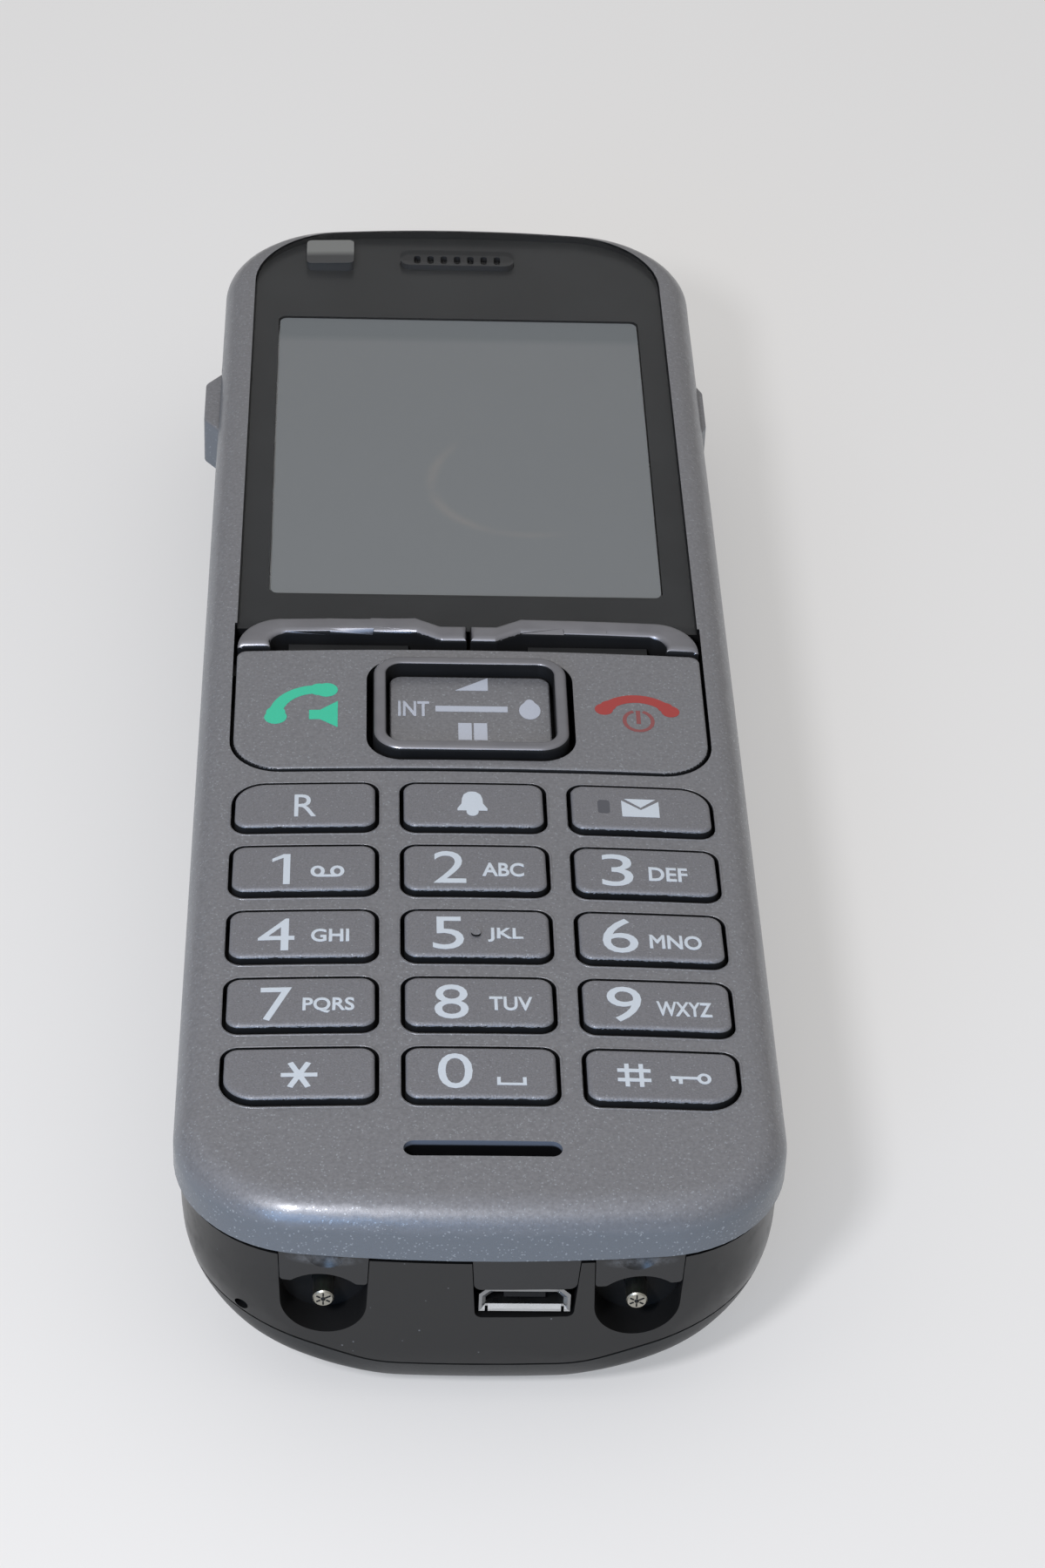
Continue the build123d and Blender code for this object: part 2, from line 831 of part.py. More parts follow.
def make_bezel():
    """Dark strip under the softkeys, raised where it shows, held at both ends below the cover."""
    low = bezel_base_top - bezel_base_thickness
    rows = (bezel_low, bezel_high)
    bezel = block((-bezel_half, bezel_half), rows, (low, bezel_base_top))
    inner = soft_dip_start + bezel_dip_gap
    outer = soft_outer - soft_leg - soft_inner_bend - bezel_soft_gap
    for sign in (-1, 1):
        raised = (sign * inner, sign * outer)
        bezel += block((min(raised), max(raised)), rows, (bezel_base_top, bezel_face))
        end = (sign * (panel_half_width + panel_edge_gap + seat_gap), sign * bezel_half)
        bezel += block((min(end), max(end)), rows, (bezel_base_top, cover_ceiling))
    return bezel


def make_navigation():
    """Silver frame, centre plate inside it and the carrier below that lets the frame tip."""
    top = body_depth + nav_proud
    plate_top = top - nav_plate_drop
    plate_bottom = plate_top - nav_plate_thickness
    floor_top = plate_bottom - nav_floor_gap
    floor_bottom = floor_top - nav_floor
    frame = soften_top(nav_block(0, floor_bottom, top), nav_rim)
    frame -= nav_block(-nav_wall, floor_top, top)
    inner = frame.edges().filter_by_position(Axis.Z, top - seat_gap, top + seat_gap)
    frame = fillet(inner, nav_inner_rim)
    frame -= post(nav_hole_radius, floor_bottom - cut_past, floor_top + cut_past, 0, nav_centre)
    plate = soften_top(nav_block(-nav_wall - nav_plate_gap, plate_bottom, plate_top), lens_edge)
    plate += post(plunger_radius, plunger_end, plate_bottom, 0, nav_centre)
    carrier_top = floor_bottom - nav_seat_gap
    carrier_bottom = carrier_top - nav_seat_thickness
    through = (carrier_bottom - cut_past, carrier_top + cut_past)
    carrier = nav_block(-nav_wall, carrier_bottom, carrier_top)
    carrier -= post(nav_hole_radius, *through, 0, nav_centre)
    for dx, dy in ((1, 0), (-1, 0), (0, 1), (0, -1)):
        x = dx * nav_nub_reach
        y = nav_centre + dy * nav_nub_reach
        frame += post(nav_nub_radius, plunger_end, floor_bottom, x, y)
        carrier -= post(nav_nub_radius + nav_nub_gap, *through, x, y)
    return frame, plate, carrier


def end_profile(face, x, back):
    """Solid with a profile seen from the microphone end, from outside it back to y = back."""
    front = low_end_y - cut_past
    return Pos(x, back, 0) * Rot(90, 0, 0) * extrude(face, amount=back - front, dir=up)


def well_half(height):
    """Half width of a contact well at a height above its middle; it widens towards the seam."""
    return well_width / 2 + (height - well_centre) * tan(radians(well_draft))


def contact_well(x, back):
    """U-shaped pocket in the end wall, open at the seam."""
    front = low_end_y - cut_past
    pocket = across(well_width / 2, back - front, (x, front, well_centre))
    top = split_height + tongue_height + cut_past
    low_half = well_half(well_centre)
    top_half = well_half(top)
    points = [(-low_half, well_centre), (low_half, well_centre), (top_half, top), (-top_half, top)]
    return pocket + end_profile(Face(Wire.make_polygon(points)), x, back)


def contact_tab(x, top, back):
    """Tab that closes the top of a contact well, arched over the contact."""
    low = tab_apex - tab_side_drop
    low_half = well_half(low) - tab_gap
    top_half = well_half(top) - tab_gap
    chord = low_half - tab_tip_width
    rim = Wire([
        ThreePointArc((-chord, low), (0, tab_apex), (chord, low)),
        Line((chord, low), (low_half, low)),
        Line((low_half, low), (top_half, top)),
        Line((top_half, top), (-top_half, top)),
        Line((-top_half, top), (-low_half, low)),
        Line((-low_half, low), (-chord, low)),
    ])
    face = Face(rim)
    face = face.fillet_2d(tab_corner, face.vertices().sort_by(Axis.Y)[:4])
    return end_profile(face, x, back)


def usb_notch(shrink, low, back):
    """Tapered notch in the end wall for the socket, open at the seam."""
    top = split_height + tongue_height + cut_past
    lean = (usb_notch_top_half - usb_notch_low_half) / (split_height - usb_notch_floor)
    top_half = usb_notch_top_half + lean * (top - split_height) - shrink
    low_half = usb_notch_low_half + lean * (low - usb_notch_floor) - shrink
    points = [(-low_half, low), (low_half, low), (top_half, top), (-top_half, top)]
    face = Face(Wire.make_polygon(points))
    face = face.fillet_2d(usb_notch_corner, face.vertices().sort_by(Axis.Y)[:2])
    return end_profile(face, usb_x, back)


def door_region(gap, end):
    """Everything below the seam of the battery cover, up to the cover's far edge."""
    side = low_half_width + cut_past
    rise = (side - hull_flat_half) * tan(radians(door_seam_slope))
    seam = door_seam_height + gap
    points = [
        (-side, -cut_past),
        (side, -cut_past),
        (side, seam + rise),
        (hull_flat_half, seam),
        (-hull_flat_half, seam),
        (-side, seam + rise),
    ]
    face = Face(Wire.make_polygon(points))
    bends = [v for v in face.vertices() if abs(v.Y - seam) < seat_gap]
    face = face.fillet_2d(bilge_radius, bends)
    start = low_end_y - cut_past
    return Pos(0, end, 0) * Rot(90, 0, 0) * extrude(face, amount=end - start, dir=up)


def door_ribs(grow, bottom, top):
    """Locating ribs inside the battery cover, or with grow the slots that they enter."""
    ribs = []
    for x in (-door_rib_x, door_rib_x):
        for rise in door_rib_rises:
            y = low_end_y + rise
            x_range = (x - door_rib_width / 2 - grow, x + door_rib_width / 2 + grow)
            y_range = (y - door_rib_length / 2 - grow, y + door_rib_length / 2 + grow)
            ribs.append(block(x_range, y_range, (bottom, top)))
    return ribs


def door_rib_root():
    """Height at which the ribs leave the sloping wall of the battery cover."""
    return (door_rib_x - hull_flat_half) * tan(radians(hull_slope)) + door_wall / 2


def make_battery_cover():
    """Shell over the back of the microphone end, seen as a thin rim along the end wall."""
    door = (hull() - hull(door_wall, door_wall)) & door_region(0, door_end)
    root = door_rib_root()
    for rib in door_ribs(0, root, root + door_wall + door_rib_height):
        door += rib
    return door


def screw_bores():
    """Clearance for both case screws, from below the head to the top of the floor."""
    bores = []
    for x, y in screw_places():
        shank = post(screw_radius + screw_bore_gap, 0, split_height, x, y)
        head = post(screw_head_radius + screw_bore_gap, -cut_past, screw_seat, x, y)
        bores.append(shank + head)
    return bores


def make_lower_housing():
    """Dark lower shell: end wall with its wells, battery bay, board floor and rear grille."""
    core_wall = door_wall + door_gap
    housing = hull() - (door_region(door_gap, door_end + door_gap) - hull(core_wall, core_wall))
    tongue_top = split_height + tongue_height
    tongue = plan_block(tongue_inset, split_height, tongue_top)
    housing += tongue - plan_block(tongue_inset + tongue_wall, split_height, tongue_top)
    housing -= plan_block(housing_wall, cavity_floor, split_height)
    whole_width = (-low_half_width, low_half_width)
    below_board = (0, cavity_floor)
    behind_bay = block(whole_width, (door_end + core_wall, high_end_y), below_board)
    room = hull(housing_wall, housing_floor) & behind_bay
    outer = speaker_radius + speaker_fit + speaker_seat_wall
    seat = post(outer, 0, speaker_seat + speaker_seat_lip, 0, speaker_centre)
    seat -= post(speaker_radius + speaker_fit, speaker_seat, body_depth, 0, speaker_centre)
    seat -= post(speaker_radius - speaker_ledge, 0, speaker_seat, 0, speaker_centre)
    housing -= room - seat
    inner_wall = core_wall + pocket_wall
    pocket_reach = (well_back + channel_web + channel_length + pocket_wall, door_end + core_wall)
    pocket = block(whole_width, pocket_reach, below_board) & hull(inner_wall, inner_wall)
    bay_half = 2 * cell_radius + cell_gap
    kept_half = bay_half + pocket_wall
    kept_length = bay_half_length + pocket_wall
    kept_y = (bay_centre - kept_length, bay_centre + kept_length)
    pocket -= block((-kept_half, kept_half), kept_y, below_board)
    for x, y in board_supports() + list(screw_places()):
        pocket -= post(boss_radius, 0, cavity_floor, x, y)
    housing -= pocket
    bay = (bay_centre - bay_half_length, bay_centre + bay_half_length)
    housing -= block((-bay_half, bay_half), bay, (0, bay_roof))
    rib_top = door_rib_root() + door_wall + door_rib_height
    for slot in door_ribs(door_rib_gap, 0, rib_top + door_rib_gap):
        housing -= slot
    for x in (-contact_x, contact_x):
        housing -= contact_well(x, well_back)
        bore_length = channel_web + channel_length
        housing -= across(pin_radius + pin_bore_gap, bore_length, (x, well_back, contact_height))
        start = well_back + channel_web
        channel = (x - channel_width / 2, x + channel_width / 2)
        low = contact_height - channel_width / 2
        housing -= block(channel, (start, start + channel_length), (low, cavity_floor))
    housing -= usb_notch(0, usb_notch_floor, end_wall_y + usb_notch_depth)
    for x, y in board_supports():
        housing += post(standoff_radius, cavity_floor, board_bottom, x, y)
    for bore in screw_bores():
        housing -= bore
    first = speaker_centre - speaker_slot_pitch * (speaker_slots - 1) / 2
    for index in range(speaker_slots):
        y = first + index * speaker_slot_pitch
        slot = Pos(0, y, 0) * SlotOverall(speaker_slot_length, speaker_slot_width)
        housing -= extrude(slot, amount=housing_floor + cut_past, dir=up, both=True)
    lean = (release_hole_x - hull_flat_half) * tan(radians(door_seam_slope))
    hole_z = door_seam_height + lean + release_hole_rise
    hole_y = low_end_y + bow_depth(low_end_bow, release_hole_x) + release_hole_depth
    housing -= across(release_hole_radius, cut_past, (-release_hole_x, hole_y, hole_z))
    return housing - side_windows()


def board_supports():
    """Places of the low bosses that carry the circuit board."""
    rows = (first_row_centre, door_end - board_support_drop)
    return [(side * key_column_pitch, y) for y in rows for side in (-1, 1)]


def dome_places():
    """Places of all the snap domes: keys, softkeys, call and end, navigation."""
    places = [(x, y) for name, side, end, x, y in key_places()]
    places += [soft_dome(-1), soft_dome(1)]
    places += [(-panel_plunger_x, nav_centre), (panel_plunger_x, nav_centre), (0, nav_centre)]
    places += [(nav_nub_reach, nav_centre), (-nav_nub_reach, nav_centre)]
    places += [(0, nav_centre + nav_nub_reach), (0, nav_centre - nav_nub_reach)]
    return places


def make_board():
    """Circuit board with the dome sheet on it and the shield can of the radio."""
    board = plan_block(board_inset, board_bottom, board_top)
    side = low_half_width
    heights = (board_bottom - cut_past, board_top + cut_past)
    board -= block((-side, side), (low_end_y, board_low_end), heights)
    board -= block((-side, side), (board_high_end, high_end_y), heights)
    for x, y in screw_places():
        board -= post(screw_radius + screw_bore_gap, *heights, x, y)
    for x in (-contact_x, contact_x):
        half = pin_tail_width / 2 + seat_gap
        tail = well_back + channel_web + channel_length
        board -= block((x - half, x + half), (low_end_y, tail), heights)
    sheet_rows = (first_row_centre - key_opening_height / 2, lens_low)
    sheet_half = key_column_pitch + key_opening_width / 2 - dome_sheet_margin
    sheet_top = board_top + dome_sheet_thickness
    sheet = block((-sheet_half, sheet_half), sheet_rows, (board_top, sheet_top))
    for x, y in dome_places():
        radius = dome_radius if abs(y - nav_centre) > nav_height / 2 else plunger_radius
        sheet += post(radius, sheet_top, dome_top, x, y)
    can_low = lens_low + shield_sheet_gap
    can_high = side_piece_centre - jack_body_width / 2 - shield_socket_gap
    can_plan = (shield_width, can_high - can_low, shield_corner, (0, (can_low + can_high) / 2))
    can = slab(*can_plan, board_top, board_top + shield_height)
    return board, sheet, can


def make_end_insert():
    """Black insert whose tabs close the tops of the contact wells and of the socket notch."""
    top = cover_bottom - seat_gap
    bar_front = low_end_y + housing_wall + seat_gap
    bar_back = bar_front + insert_bar_depth
    half = contact_x + well_width / 2
    bar_bottom = board_top + insert_bar_rise
    bar = block((-half, half), (bar_front, bar_back), (bar_bottom, split_height))
    inside = plan_block(housing_wall + seat_gap, bar_bottom - cut_past, top)
    insert = bar & inside
    skin = hull() + plan_block(shell_inset, split_height, top)
    for x in (-contact_x, contact_x):
        tab = contact_tab(x, top, bar_front + seat_gap)
        face_y = low_end_y + bow_depth(low_end_bow, contact_x)
        scoop = Pos(x, face_y + tab_scoop_depth - tab_scoop_radius, top) * Sphere(tab_scoop_radius)
        insert += (tab & skin) - scoop
    cover_tab = usb_notch(tab_gap, usb_tab_low, bar_front + seat_gap)
    cover_tab &= skin
    return insert + cover_tab


def make_contacts():
    """Two charging pins with the tails that reach up to the board."""
    pins = []
    for x in (-contact_x, contact_x):
        front = end_wall_y + pin_recess
        back = well_back + channel_web + channel_length / 2
        pin = across(pin_radius, back - front, (x, front, contact_height))
        pin = chamfer(pin.faces().sort_by(Axis.Y)[0].edges(), pin_edge)
        half = pin_tail_width / 2
        tail = (contact_height - half, board_top)
        pin += block((x - half, x + half), (back, back + pin_tail_thickness), tail)
        pins.append(pin)
    return Compound(children=pins)


def usb_section(grow):
    """Section of the socket's shell, with two cut corners at its top, larger by grow all round."""
    face = Face(Wire.make_rect(usb_shell_width + 2 * grow, usb_shell_height + 2 * grow))
    return face.chamfer_2d(usb_shell_chamfer, usb_shell_chamfer, face.vertices().sort_by(Axis.Y)[-2:])


def usb_bell(grow):
    """Block that widens by the flare over the last stretch of the shell, larger by grow all round."""
    root = Pos(0, 0, usb_shell_length - usb_flare) * usb_section(grow)
    return loft([root, Pos(0, 0, usb_shell_length) * usb_section(grow + usb_flare)])


def make_usb_socket():
    """Micro socket: metal shell with flared lips and a tongue, on a foot under the board."""
    back = end_wall_y + usb_recess + usb_shell_length
    ring = usb_shell_wall
    straight = usb_shell_length - usb_flare
    shell = extrude(usb_section(0), amount=straight, dir=up) + usb_bell(0)
    shell -= extrude(Pos(0, 0, usb_back_wall) * usb_section(-ring), amount=straight - usb_back_wall, dir=up)
    shell -= usb_bell(-ring)
    # Cuts that part the lips
    reach = usb_shell_height
    for half, side in ((usb_lip_half, -1), (usb_brow_half, 1)):
        for sign in (-1, 1):
            x_range = sorted((sign * half, sign * (half + usb_lip_cut)))
            y_range = sorted((side * (usb_shell_height / 2 - ring), side * reach))
            shell -= block(x_range, y_range, (straight, usb_shell_length + cut_past))
    tongue_y = usb_shell_height / 2 - ring - usb_tongue_height
    tongue_length = straight - usb_flare
    tongue = Box(usb_tongue_width, usb_tongue_height, tongue_length)
    shell += Pos(0, tongue_y, tongue_length / 2) * tongue
    socket = Pos(usb_x, back, usb_height) * Rot(90, 0, 0) * shell
    half = usb_foot_width / 2
    top = usb_height + usb_shell_height / 2
    foot_rows = (board_low_end + seat_gap, back)
    return socket + block((usb_x - half, usb_x + half), foot_rows, (top - usb_shell_wall, board_bottom))


def side_bump(sign, length, crest, proud, depth, edge):
    """Piece in a side window, with sloping ends and a crest that stands proud of the side."""
    taper = width_taper / (body_length - low_corner - high_corner)
    wall = low_half_width - taper * (side_piece_centre - low_end_y - low_corner)
    inner = wall - depth
    points = [
        (inner, -length / 2),
        (wall - edge, -length / 2),
        (wall + proud, -crest / 2),
        (wall + proud, crest / 2),
        (wall - edge, length / 2),
        (inner, length / 2),
    ]
    face = Face(Wire.make_polygon([(sign * x, y) for x, y in points]))
    bends = [v for v in face.vertices() if abs(v.X) > inner + edge]
    face = face.fillet_2d(2 * edge, bends)
    bottom = side_piece_middle - side_piece_height / 2
    body = extrude(Pos(0, side_piece_centre, bottom) * face, amount=side_piece_height, dir=up)
    level = [e for e in body.edges() if abs(e.tangent_at(0).Z) < seat_gap]
    crests = [e for e in level if abs(e.center().X) > wall + proud - seat_gap]
    turns = [e for e in level if abs(e.center().X) > wall - edge and e.geom_type != GeomType.LINE]
    rims = crests + [e for e in turns if e not in crests]
    return fillet(rims, edge / 2), wall


def make_headset_socket(wall):
    """Socket for a headset plug, lying on the board with its collar behind the flap."""
    face_x = wall - flap_depth - jack_face_gap
    body_face = face_x - jack_collar_length
    middle = board_top + jack_body_height / 2
    y_range = (side_piece_centre - jack_body_width / 2, side_piece_centre + jack_body_width / 2)
    z_range = (board_top, board_top + jack_body_height)
    body = block((body_face - jack_body_length, body_face), y_range, z_range)
    collar = Pos(face_x - jack_collar_length / 2, side_piece_centre, middle) * Rot(0, 90, 0)
    body += collar * Cylinder(jack_body_height / 2, jack_collar_length)
    depth = jack_body_length
    bore = Pos(face_x - depth / 2 + cut_past / 2, side_piece_centre, middle) * Rot(0, 90, 0)
    return body - bore * Cylinder(jack_bore_radius, depth + cut_past)


def make_cell(sign):
    """One rechargeable cell with its raised end."""
    x = sign * (cell_radius + cell_gap / 2)
    start = bay_centre - cell_length / 2
    cell = across(cell_radius, cell_length, (x, start, cell_height))
    cell = fillet(cell.edges().filter_by(GeomType.CIRCLE), cell_edge)
    tip = start + cell_length if sign > 0 else start - cell_nub_length
    return cell + across(cell_nub_radius, cell_nub_length, (x, tip, cell_height))


def make_cell_contacts():
    """Leaf contacts at both ends of the battery bay."""
    leaves = []
    for side in (-1, 1):
        for end in (-1, 1):
            x = side * (cell_radius + cell_gap / 2)
            wall_y = bay_centre + end * bay_half_length
            is_nub_end = side == end
            reach = cell_length / 2 + (cell_nub_length if is_nub_end else 0)
            room = bay_half_length - reach - seat_gap
            half = leaf_width / 2
            near = wall_y - end * leaf_thickness
            heights = (cell_height - leaf_height / 2, cell_height + leaf_height / 2)
            plate = block((x - half, x + half), (min(wall_y, near), max(wall_y, near)), heights)
            bow = min(leaf_bow + leaf_thickness, room)
            arch = (half**2 + bow**2) / (2 * bow)
            centre_y = wall_y + end * (arch - bow)
            drum = Pos(x, centre_y, cell_height) * (Cylinder(arch, leaf_height / 2))
            drum -= Pos(x, centre_y, cell_height) * Cylinder(arch - leaf_thickness, leaf_height / 2)
            inward = (wall_y - end * leaf_thickness / 2, wall_y - end * (leaf_bow + cut_past))
            drum &= block((x - half, x + half), (min(inward), max(inward)), (0, body_depth))
            leaves.append(plate + drum)
    return Compound(children=leaves)


def make_screws():
    """Two case screws with a hexagonal socket."""
    screws = []
    tip = cover_ceiling - screw_end_gap
    for x, y in screw_places():
        screw = post(screw_radius, screw_seat, tip, x, y)
        head_bottom = screw_seat - screw_head_height
        screw += post(screw_head_radius, head_bottom, screw_seat, x, y)
        drive = Pos(x, y, head_bottom) * RegularPolygon(screw_socket_width, 6)
        screw -= extrude(drive, amount=screw_socket_depth, dir=up)
        screws.append(screw)
    return Compound(children=screws)


def make_sound_parts():
    """Loudspeaker at the back, microphone and its boot, motor and antennas."""
    speaker_middle = speaker_seat + speaker_depth / 2
    speaker = post(speaker_radius, speaker_seat, speaker_middle, 0, speaker_centre)
    speaker += post(speaker_magnet_radius, speaker_middle, speaker_seat + speaker_depth, 0, speaker_centre)
    cone = speaker_radius - speaker_ledge
    speaker -= post(cone, speaker_seat, speaker_seat + speaker_dish, 0, speaker_centre)
    capsule_top = cover_ceiling - mic_drop
    capsule_bottom = capsule_top - mic_thickness
    boot = post(boot_radius, board_top, cover_ceiling, 0, mic_slot_centre)
    boot -= post(mic_radius, capsule_bottom, cover_ceiling, 0, mic_slot_centre)
    capsule = post(mic_radius, capsule_bottom, capsule_top, 0, mic_slot_centre)
    motor_z = board_bottom - motor_radius
    motor = across(motor_radius, motor_length, (motor_x, motor_y, motor_z))
    motor_end = motor_y + motor_length
    weight = across(weight_radius, weight_length, (motor_x, motor_end + weight_gap, motor_z))
    upper = (motor_z, motor_z + motor_radius)
    behind = (motor_end, motor_end + motor_length)
    weight -= block((motor_x - motor_radius, motor_x + motor_radius), behind, upper)
    shaft = across(shaft_radius, weight_length, (motor_x, motor_end, motor_z))
    antennas = []
    for sign in (-1, 1):
        x_range = (sign * antenna_x - antenna_length / 2, sign * antenna_x + antenna_length / 2)
        foot_rows = (board_high_end - antenna_width, board_high_end)
        foot = block(x_range, foot_rows, (board_top, board_top + antenna_thickness))
        rise_rows = (board_high_end - antenna_thickness, board_high_end)
        rise = block(x_range, rise_rows, (board_top, board_top + antenna_height))
        antennas.append(foot + rise)
    return speaker, capsule, boot, motor + weight + shaft, Compound(children=antennas)


nodes["front_cover"] = make_front_cover()
nodes["display_lens"] = make_display_lens()
nodes["lamp_window"] = make_lamp_window()
nodes["display_frame"], nodes["display_panel"], nodes["display_flex"] = make_display()
nodes["earpiece_mesh"], nodes["earpiece_receiver"] = make_earpiece()
for key_name, key_side, key_end, key_x, key_y in key_places():
    nodes[key_name] = make_key(key_name, key_side, key_end, key_x, key_y)
nodes["message_window"] = make_message_window()
nodes["call_end_key"] = make_call_end_key()
nodes["softkey_left"] = make_softkey(-1)
nodes["softkey_right"] = make_softkey(1)
nodes["softkey_bezel"] = make_bezel()
nodes["nav_frame"], nodes["nav_plate"], nodes["nav_carrier"] = make_navigation()
nodes["lower_housing"] = make_lower_housing()
nodes["battery_cover"] = make_battery_cover()
nodes["end_insert"] = make_end_insert()
nodes["charging_contacts"] = make_contacts()
nodes["usb_socket"] = make_usb_socket()
rocker = (rocker_length, rocker_crest_length, rocker_proud, rocker_depth, rocker_edge)
nodes["volume_key"], side_wall = side_bump(-1, *rocker)
flap = (flap_length, flap_crest_length, flap_proud, flap_depth, flap_edge)
nodes["headset_flap"], side_wall = side_bump(1, *flap)
nodes["headset_socket"] = make_headset_socket(side_wall)
nodes["circuit_board"], nodes["dome_sheet"], nodes["shield_can"] = make_board()
nodes["cell_left"] = make_cell(-1)
nodes["cell_right"] = make_cell(1)
nodes["cell_contacts"] = make_cell_contacts()
nodes["case_screws"] = make_screws()
sound_names = ("loudspeaker", "microphone", "microphone_boot", "vibration_motor", "antennas")
for sound_name, sound_part in zip(sound_names, make_sound_parts()):
    nodes[sound_name] = sound_part

os.makedirs("parts", exist_ok=True)
for node_name, node in nodes.items():
    export_step(node, f"parts/{node_name}.step")
    print(node_name, round(node.volume, 1))
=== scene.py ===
"""Looks of a cordless telephone handset that lies on its back on a pale table."""

import json
import logging
from dataclasses import dataclass, field
from enum import Enum
from math import atan2, cos, pi, radians, sin, sqrt, tan
from typing import Callable, Sequence

import bmesh
import bpy
from bmesh.types import BMesh
from bpy.types import ID, Material, Node, NodeSocket, NodeTree, Object
from mathutils import Matrix, Vector

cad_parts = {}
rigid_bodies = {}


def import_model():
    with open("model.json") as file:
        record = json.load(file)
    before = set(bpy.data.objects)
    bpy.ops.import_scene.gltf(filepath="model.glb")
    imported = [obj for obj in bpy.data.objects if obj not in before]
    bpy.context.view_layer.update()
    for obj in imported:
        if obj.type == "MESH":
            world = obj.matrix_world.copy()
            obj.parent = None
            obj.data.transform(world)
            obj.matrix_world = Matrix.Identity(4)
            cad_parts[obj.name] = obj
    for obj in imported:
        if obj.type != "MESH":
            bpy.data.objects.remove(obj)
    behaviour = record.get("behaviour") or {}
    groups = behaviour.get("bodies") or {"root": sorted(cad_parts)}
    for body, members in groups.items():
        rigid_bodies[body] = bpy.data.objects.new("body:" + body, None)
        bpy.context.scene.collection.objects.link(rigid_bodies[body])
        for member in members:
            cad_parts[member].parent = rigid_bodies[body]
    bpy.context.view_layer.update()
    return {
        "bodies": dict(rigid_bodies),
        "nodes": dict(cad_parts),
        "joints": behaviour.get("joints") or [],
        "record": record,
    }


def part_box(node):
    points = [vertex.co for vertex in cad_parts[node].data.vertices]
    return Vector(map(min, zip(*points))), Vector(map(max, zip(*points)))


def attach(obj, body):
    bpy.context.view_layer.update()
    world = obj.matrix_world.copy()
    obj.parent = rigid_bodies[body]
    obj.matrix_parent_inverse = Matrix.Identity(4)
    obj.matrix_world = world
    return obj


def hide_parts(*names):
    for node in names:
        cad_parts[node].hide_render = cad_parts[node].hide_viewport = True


MM = 0.001
# Thickness of a printed mark in millimetres, of which half stands proud
MARK_THICKNESS = 0.03
LOG = logging.getLogger("handset")
Point = tuple[float, float]
Colour = tuple[float, float, float]
Surface = Callable[[float, float], float]
Choice = Callable[[Vector, Vector], int]


def linear(red: int, green: int, blue: int) -> Colour:
    """Return a screen colour, whose parts run from 0 to 255, in linear light."""
    shares = (red / 255, green / 255, blue / 255)
    return tuple(s / 12.92 if s <= 0.04045 else ((s + 0.055) / 1.055) ** 2.4 for s in shares)


def scaled(colour: Colour, gain: float, lift: float = 0.0) -> Colour:
    """Return a colour with each part multiplied by the gain and raised by the lift."""
    return tuple(part * gain + lift for part in colour)


def in_scene(name: str, data: ID) -> Object:
    """Put a new object in the scene.

    Args:
        name: The object's name.
        data: Its mesh, curve, light or camera.

    Returns:
        The new object.
    """
    made = bpy.data.objects.new(name, data)
    bpy.context.scene.collection.objects.link(made)
    return made


class Signal:
    """A number that varies over a surface or a shape, so that node maths reads as plain expressions."""

    def __init__(self, graph: "Graph", socket: NodeSocket) -> None:
        """Hold the graph that new nodes go to and the socket that carries the number."""
        self.graph = graph
        self.socket = socket

    def combined(self, operation: str, first: object, second: object = 0.0) -> "Signal":
        """Join two signals or plain numbers with one Math node."""
        node = self.graph.node("ShaderNodeMath", {0: first, 1: second}, operation=operation)
        return Signal(self.graph, node.outputs[0])

    def __add__(self, other: object) -> "Signal":
        """Add."""
        return self.combined("ADD", self, other)

    __radd__ = __add__

    def __mul__(self, other: object) -> "Signal":
        """Multiply."""
        return self.combined("MULTIPLY", self, other)

    __rmul__ = __mul__

    def __sub__(self, other: object) -> "Signal":
        """Subtract."""
        return self.combined("SUBTRACT", self, other)

    def __rsub__(self, other: object) -> "Signal":
        """Subtract from a plain number."""
        return self.combined("SUBTRACT", other, self)

    def __abs__(self) -> "Signal":
        """Drop the sign."""
        return self.combined("ABSOLUTE", self)

    def above(self, edge: object) -> "Signal":
        """Return 1 where the signal is over the edge and 0 elsewhere."""
        return self.combined("GREATER_THAN", self, edge)

    def root(self) -> "Signal":
        """Return the square root."""
        return self.combined("SQRT", self)


class Graph:
    """A tree of nodes that is built in code."""

    tree: NodeTree

    def node(self, kind: str, values: dict[int | str, object] | None = None,
             **settings: object) -> Node:
        """Add one node.

        Args:
            kind: The node's type.
            values: Plain values, signals or sockets for the node's inputs.
            settings: Properties that are set first.

        Returns:
            The new node.
        """
        made = self.tree.nodes.new(kind)
        for key, value in settings.items():
            setattr(made, key, value)
        for key, value in (values or {}).items():
            source = value.socket if isinstance(value, Signal) else value
            if isinstance(source, NodeSocket):
                self.tree.links.new(source, made.inputs[key])
            elif isinstance(source, tuple) and made.inputs[key].type == "RGBA":
                made.inputs[key].default_value = (*source, 1.0)
            else:
                made.inputs[key].default_value = source
        return made

    def split(self, vector: NodeSocket) -> tuple[Signal, Signal, Signal]:
        """Return the three parts of a vector."""
        made = self.node("ShaderNodeSeparateXYZ", {0: vector})
        return tuple(Signal(self, socket) for socket in made.outputs)

    def joined(self, x: object, y: object, z: object) -> NodeSocket:
        """Return a vector made of three numbers or signals."""
        return self.node("ShaderNodeCombineXYZ", {0: x, 1: y, 2: z}).outputs[0]


@dataclass(frozen=True)
class Noise:
    """A smooth noise, with the stretch of it that is spread from 0 to 1."""

    blob_mm: float
    low: float = 0.0
    high: float = 1.0
    detail: float = 2.0
    roughness: float = 0.5


@dataclass(frozen=True)
class Grain(Noise):
    """The finer noise of a sprayed or moulded surface."""

    detail: float = 3.0
    roughness: float = 0.6


